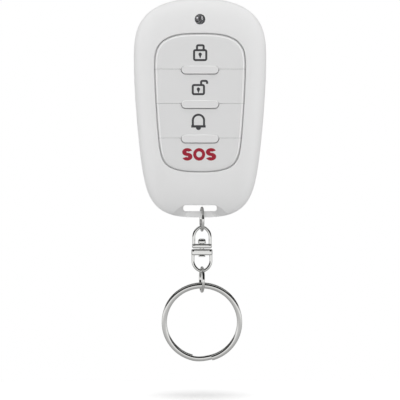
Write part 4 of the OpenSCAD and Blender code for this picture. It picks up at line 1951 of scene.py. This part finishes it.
@dataclass
class Chain:
    """The swivel chain: two jump rings, two yokes, the pin and the split key ring.

    Args:
        across: Place of the chain across the body.
        depth: Place of the chain before the flat back.
        ring_wire: Diameter of the jump rings' wire.
        ring_split: Degrees that the split in a jump ring takes.
        upper_ring: Diameter of the upper jump ring, its turn from edge-on and the height of its middle.
        lower_ring: The same for the lower jump ring.
        yoke_wire: Diameter of the yokes' wire.
        crown: Radius of a yoke's crown.
        shoulder: Radius of a yoke's shoulders.
        upper_yoke: Width and height of the upper yoke, and the height of its crossbar.
        upper_crown_up: Height of its crown.
        lower_yoke: The same for the lower yoke, which hangs upside down.
        lower_crown_up: Height of its crown.
        cross_deep: Depth of a crossbar.
        cross_over: How far a crossbar reaches past the wire.
        cross_round: Radius of its edges.
        cross_steps: Faces across those edges.
        bore: Radius of the hole for the pin in the upper yoke.
        pin: Radius of the pin.
        pin_play: Gap round the pin in the lower yoke.
        pin_head: Radius of its head.
        pin_head_low: Height of the head's lower face.
        pin_head_high: Height of the head's upper face.
        pin_dome: Radius and faces of the head's round edge.
        pin_foot: Height of the foot's upper face.
        pin_foot_wide: Radius of the foot.
        pin_foot_thick: Thickness of the foot.
        pin_round: Radius of the pin's other edges.
        pin_points: Points round the pin.
        key_ring: Radius of the key ring's middle line.
        key_wire: Height and depth of its wire.
        key_square: How square its wire is.
        key_points: Points round its wire.
        key_fine: Degrees between its sections.
        key_round: Radius of the edges at its ends.
        key_pitch: Distance between its turns.
        key_ring_up: Height of its top.
        key_lean: Degrees that it leans.
        joggle: Degrees over which it steps from one turn to the next.
        joggle_steps: Sections of that step.
    """

    across: float = 0.6
    depth: float = -4.4
    ring_wire: float = 0.85
    ring_split: float = 1
    upper_ring: Triple = (7.8, 6, -34.4378)
    lower_ring: Triple = (8.2, 8, -53.1878)
    yoke_wire: float = 0.95
    crown: float = 1.3
    shoulder: float = 3.3
    upper_yoke: Triple = (6.05, 7.1, 1.4)
    upper_crown_up: float = -36.8628
    lower_yoke: Triple = (6.5, 7.3, 1.9)
    lower_crown_up: float = -50.5628
    cross_deep: float = 2
    cross_over: float = 0.06
    cross_round: float = 0.45
    cross_steps: int = 5
    bore: float = 0.72
    pin: float = 0.65
    pin_play: float = 0.01
    pin_head: float = 1.225
    pin_head_low: float = -41.9878
    pin_head_high: float = -40.4878
    pin_dome: tuple[float, int] = (0.8, 8)
    pin_foot: float = -45.6578
    pin_foot_wide: float = 1.05
    pin_foot_thick: float = 0.5
    pin_round: float = 0.12
    pin_points: int = 48
    key_ring: float = 11.7
    key_wire: Pair = (1.6, 1)
    key_square: float = 2.05
    key_points: int = 32
    key_fine: float = 3
    key_round: float = 0.15
    key_pitch: float = 1.5
    key_ring_up: float = -55.7779
    key_lean: float = 12
    joggle: float = 30
    joggle_steps: int = 10

    def hang(self, bm: BMesh, up: float) -> BMesh:
        """Moves a link to its place on the chain and returns it."""
        return move(bm, (self.across, self.depth, up))

    def jump_ring(self, size: Triple) -> BMesh:
        """Returns a ring of round wire that faces sideways, with a fine split.

        Args:
            size: Outer diameter, turn from edge-on in degrees, and height of its middle.

        Returns:
            The ring.
        """
        diameter, yaw, up = size
        bm = bmesh.new()
        radius = (diameter - self.ring_wire) / 2
        wire = (self.ring_wire, self.ring_wire)
        sweep = Sweep.wire(bm, wire, (0, -radius, 0), (0, 0, 1), (-1, 0, 0))
        sweep.turn(radius, 360 - self.ring_split)
        fill_ends(bm)
        return self.hang(rotate(bm, yaw, "Z"), up)

    def yoke(self, size: Triple, bore: float) -> BMesh:
        """Returns a wire arch on a crossbar, with the middle of its crown at the origin.

        Args:
            size: Outer width, outer height and height of the crossbar.
            bore: Radius of the hole for the pin.

        Returns:
            The yoke.
        """
        wide, high, bar = size
        half = (wide - self.yoke_wire) / 2
        bend = math.degrees(math.acos((self.shoulder - half) / (self.shoulder - self.crown)))
        shoulder_up = -self.crown - (self.shoulder - self.crown) * math.sin(math.radians(bend))
        bar_low = self.yoke_wire / 2 - high
        foot = bar_low + bar / 2
        wire = (self.yoke_wire, self.yoke_wire)
        arch = bmesh.new()
        sweep = Sweep.wire(arch, wire, (half, 0, foot), (0, 0, 1), (0, -1, 0))
        sweep.forward(shoulder_up - foot).turn(self.shoulder, bend).turn(self.crown, 180 - 2 * bend)
        sweep.turn(self.shoulder, bend).forward(shoulder_up - foot)
        fill_ends(arch)
        span = wide + 2 * self.cross_over
        cross = prism(lambda flat: draw_pill(flat, span, self.cross_deep), bar_low, bar_low + bar)
        round_edges(cross, self.cross_round, self.cross_steps)
        hole = prism(lambda flat: draw_disc(flat, bore), bar_low - CLEAR, bar_low + bar + CLEAR)
        return carve(carve(arch, [cross], Carve.JOIN), [hole], Carve.CUT)

    def swivel_pin(self) -> BMesh:
        """Makes the pin that holds the two yokes together.

        Returns:
            The mesh.
        """
        low = self.pin_foot - self.pin_foot_thick
        profile = [
            (0, low),
            (self.pin_foot_wide, low),
            (self.pin_foot_wide, self.pin_foot),
            (self.pin, self.pin_foot),
            (self.pin, self.pin_head_low),
            (self.pin_head, self.pin_head_low),
            (self.pin_head, self.pin_head_high),
            (0, self.pin_head_high),
        ]
        bm = lathe(profile, self.pin_points)
        high = self.pin_head_high - NEAR
        top = [edge for edge in bm.edges if all(v.co.z > high for v in edge.verts)]
        bevel(bm, [edge for edge in top if edge.calc_face_angle(0) > SHARP], *self.pin_dome)
        round_edges(bm, self.pin_round, 2)
        return self.hang(bm, 0)

    def coil(self) -> BMesh:
        """Makes the split key ring: two turns of one flat wire with a step between them.

        Returns:
            The mesh.
        """
        bm = bmesh.new()
        lead = math.radians(270 + self.joggle / 2)
        way = Vector((math.cos(lead), 0, math.sin(lead)))
        start = way * self.key_ring + Vector((0, -self.key_pitch / 2, 0))
        axis = Vector((0, -1, 0))
        ahead = axis.cross(way)
        sweep = Sweep.wire(bm, self.key_wire, start, ahead, axis, self.key_points, self.key_square)
        sweep.fine = self.key_fine
        sweep.turn(self.key_ring, 360 - self.joggle)
        steps = self.joggle_steps
        shares = [(1 - math.cos(math.pi * number / steps)) / 2 for number in range(steps + 1)]
        for before, after in zip(shares, shares[1:]):
            sweep.turn(self.key_ring, self.joggle / steps, -self.key_pitch * (after - before))
        sweep.turn(self.key_ring, 360 - self.joggle)
        fill_ends(bm)
        round_edges(bm, self.key_round, 2)
        move(bm, (0, 0, self.key_wire[0] / 2 - self.key_ring))
        return self.hang(rotate(bm, self.key_lean, "X"), self.key_ring_up)

    def build(self) -> list[bpy.types.Object]:
        """Makes the links from the top down.

        Returns:
            The pieces.
        """
        upper = self.yoke(self.upper_yoke, self.bore)
        lower = rotate(self.yoke(self.lower_yoke, self.pin + self.pin_play), 180, "Y")
        links = (
            (self.jump_ring(self.upper_ring), "ring_upper", Body.UPPER_RING, "upper_jump_ring"),
            (self.hang(upper, self.upper_crown_up), "yoke_upper", Body.UPPER_LINK, "upper_yoke"),
            (self.swivel_pin(), "pin_swivel", Body.LOWER_LINK, "swivel_pin"),
            (self.hang(lower, self.lower_crown_up), "yoke_lower", Body.LOWER_LINK, "lower_yoke"),
            (self.jump_ring(self.lower_ring), "ring_lower", Body.LOWER_RING, "lower_jump_ring"),
            (self.coil(), "ring_keys", Body.KEY_RING, "key_ring"),
        )
        return [
            finish_piece(bm, name, NICKEL, body, [node], DRAWN)
            for bm, name, body, node in links
        ]


@dataclass(frozen=True)
class Softbox:
    """A soft studio lamp, which shiny metal doesn't mirror.

    Args:
        name: Its name.
        place: Where it stands, in metres.
        size: Width and height, in metres.
        power: Power in watts.
        aim: What it points at, in metres.
    """

    name: str
    place: Triple
    size: Pair
    power: float
    aim: Triple = (0, 0, -0.02)

    def build(self) -> bpy.types.Object:
        """Makes the lamp.

        Returns:
            The lamp.
        """
        lamp = bpy.data.lights.new(self.name, "AREA")
        lamp.shape = "RECTANGLE"
        lamp.size, lamp.size_y = self.size
        lamp.energy = self.power
        thing = bpy.data.objects.new(self.name, lamp)
        bpy.context.scene.collection.objects.link(thing)
        thing.visible_glossy = False
        thing.location = self.place
        way = Vector(self.aim) - Vector(self.place)
        thing.rotation_euler = way.to_track_quat("-Z", "Y").to_euler()
        return thing


@dataclass
class Studio:
    """The pale floor, the lamps, the white surround and the camera.

    Sizes are in metres, apart from the camera's sensor.

    Args:
        floor_up: Height of the floor.
        floor_radius: Radius of the floor.
        floor_points: Points round the floor.
        shadow_glow_levels: Glow of the floor under the part, lower there as a painted shadow, and far from
            it.
        shadow_glow_reach: Distances across and along at which the glow is full and the painted shadow ends.
        camera_place: Place of the camera.
        frame_wide: Width of the picture at the keys.
        frame_away: Distance of the keys from the camera.
        sensor: Width of the camera's sensor in millimetres.
        nearest: Least distance that the camera sees.
        lamps: The lamps.
        front_levels: Heights of a direction, and the light from there on the camera's side.
        rear_levels: The same behind the part.
        frontness: Depths of a direction, and the share of the front levels there.
    """

    floor_up: float = -0.0895
    floor_radius: float = 0.15
    floor_points: int = 96
    shadow_glow_levels: Pair = (0.445, 0.68)
    shadow_glow_reach: Pair = (0.0255, 0.093)
    camera_place: Triple = (0, -1.8065, -0.0285)
    frame_wide: float = 0.124
    frame_away: float = 1.8
    sensor: float = 36
    nearest: float = 0.01
    lamps: tuple[Softbox, ...] = (
        Softbox("lamp_top", (0, -0.12, 0.53), (0.26, 0.16), 0.8),
        Softbox("lamp_brow", (0, -0.55, 0.75), (0.5, 0.3), 1.7),
        Softbox("lamp_left", (-0.6, -0.05, 0.05), (0.3, 0.5), 1.1),
        Softbox("lamp_right", (0.6, -0.05, 0.05), (0.3, 0.5), 1.1),
        Softbox("lamp_front", (0, -1, 0.22), (0.8, 0.4), 2.8),
    )
    front_levels: tuple[Pair, ...] = (
        (-1, 0.45),
        (-0.6, 0.58),
        (-0.35, 0.77),
        (-0.25, 1.06),
        (-0.05, 1.12),
        (0.03, 1.02),
        (0.07, 0.02),
        (1, 0.02),
    )
    rear_levels: tuple[Pair, ...] = (
        (-1, 0.4),
        (-0.25, 0.45),
        (0.05, 0.62),
        (0.2, 0.62),
        (0.28, 0.1),
        (0.6, 0.1),
        (0.7, 0.7),
        (1, 0.75),
    )
    frontness: tuple[Pair, ...] = ((-1, 1), (-0.3, 1), (0.1, 0), (1, 0))

    def shadowed_floor_sheet(self) -> bpy.types.Material:
        """Makes the floor's paper, which glows more with the distance from the part, so that the dip under
        it is a painted shadow.

        Returns:
            The material.
        """
        sheet = PAINTED_SHADOW_PAPER.material()
        tree = sheet.node_tree
        shader = tree.nodes["Principled BSDF"]
        shader.inputs["Emission Color"].default_value = to_linear("ffffff")
        place = add_node(tree, "TexCoord").outputs["Object"]
        across, deep = self.shadow_glow_reach
        shares = {0: place, 1: (1 / across, 1 / deep, 0.0)}
        flat = add_node(tree, "VectorMath", shares, operation="MULTIPLY").outputs["Vector"]
        away = add_node(tree, "VectorMath", {0: flat}, operation="LENGTH").outputs["Value"]
        # The glow is lower under the part: a painted shadow, stretched in depth
        near, far = self.shadow_glow_levels
        levels = {"Value": away, "To Min": near, "To Max": far}
        glow = add_node(tree, "MapRange", levels, interpolation_type="SMOOTHSTEP")
        tree.links.new(glow.outputs["Result"], shader.inputs["Emission Strength"])
        return sheet

    def build_floor(self) -> None:
        """Lays a pale floor, with a painted shadow under the part."""
        bm = bmesh.new()
        draw_disc(bm, self.floor_radius, self.floor_points)
        move(bm, (0, 0, self.floor_up))
        floor = as_object(bm, "floor")
        floor.data.materials.append(self.shadowed_floor_sheet())
        floor.visible_diffuse = False
        floor.visible_glossy = False

    def ramp(
        self,
        tree: bpy.types.NodeTree,
        value: bpy.types.NodeSocket,
        stops: Sequence[Pair],
    ) -> bpy.types.NodeSocket:
        """Returns a level that changes along one direction.

        Args:
            tree: The surround's node tree.
            value: Place along the direction, from -1 to 1.
            stops: Places, and the level at each.

        Returns:
            The level's socket.
        """
        share = add_node(tree, "MapRange", {"Value": value, "From Min": -1.0, "From Max": 1.0})
        node = add_node(tree, "ValToRGB", {"Fac": share.outputs["Result"]})
        elements = node.color_ramp.elements
        elements.remove(elements[0])
        for number, (place, level) in enumerate(stops):
            stop = elements.new((place + 1) / 2) if number else elements[0]
            stop.position = (place + 1) / 2
            stop.color = (level, level, level, 1.0)
        return node.outputs["Color"]

    def build_surround(self) -> None:
        """Makes the surround, which is white for the camera and has its levels for the object."""
        world = bpy.data.worlds.new("surround")
        bpy.context.scene.world = world
        world.use_nodes = True
        tree = world.node_tree
        tree.nodes.clear()
        way = add_node(tree, "TexCoord").outputs["Generated"]
        parts = add_node(tree, "SeparateXYZ", {"Vector": way}).outputs
        levels = {
            FACTOR: self.ramp(tree, parts["Y"], self.frontness),
            LEVEL_A: self.ramp(tree, parts["Z"], self.rear_levels),
            LEVEL_B: self.ramp(tree, parts["Z"], self.front_levels),
        }
        glow = add_node(tree, "Mix", levels, data_type="FLOAT").outputs[LEVEL_OUT]
        seen = add_node(tree, "LightPath").outputs["Is Camera Ray"]
        levels = {FACTOR: seen, LEVEL_A: glow, LEVEL_B: 1.0}
        strength = add_node(tree, "Mix", levels, data_type="FLOAT").outputs[LEVEL_OUT]
        sky = add_node(tree, "Background", {"Color": to_linear("ffffff"), "Strength": strength})
        add_node(tree, "OutputWorld", {"Surface": sky.outputs["Background"]})

    def build_camera(self) -> None:
        """Sets the camera level with the middle of the picture."""
        data = bpy.data.cameras.new("camera")
        data.sensor_width = self.sensor
        data.lens = self.sensor * self.frame_away / self.frame_wide
        data.clip_start = self.nearest
        camera = bpy.data.objects.new("camera", data)
        bpy.context.scene.collection.objects.link(camera)
        camera.location = self.camera_place
        camera.rotation_euler = (math.pi / 2, 0, 0)
        bpy.context.scene.camera = camera

    def build(self) -> None:
        """Builds the whole studio."""
        bpy.context.scene.view_settings.view_transform = "Standard"
        self.build_camera()
        self.build_floor()
        self.build_surround()
        for lamp in self.lamps:
            lamp.build()


def dress_nodes() -> None:
    """Gives every solid that stays its own finish."""
    for name, finish in NODE_FINISHES.items():
        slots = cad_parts[name].data.materials
        slots.clear()
        slots.append(finish.material())
        LOG.info("%s: finished as %s", name, finish.name)


def main() -> None:
    """Builds the fob and its studio."""
    logging.basicConfig(level=logging.INFO, format="%(name)s: %(message)s")
    Studio().build()
    case = Case()
    case.build_front()
    case.build_rear()
    Keypad().build()
    StatusLight().build()
    fittings = BackFittings()
    fittings.build_cap()
    fittings.build_screws()
    Chain().build()
    dress_nodes()


if __name__ == "__main__":
    main()
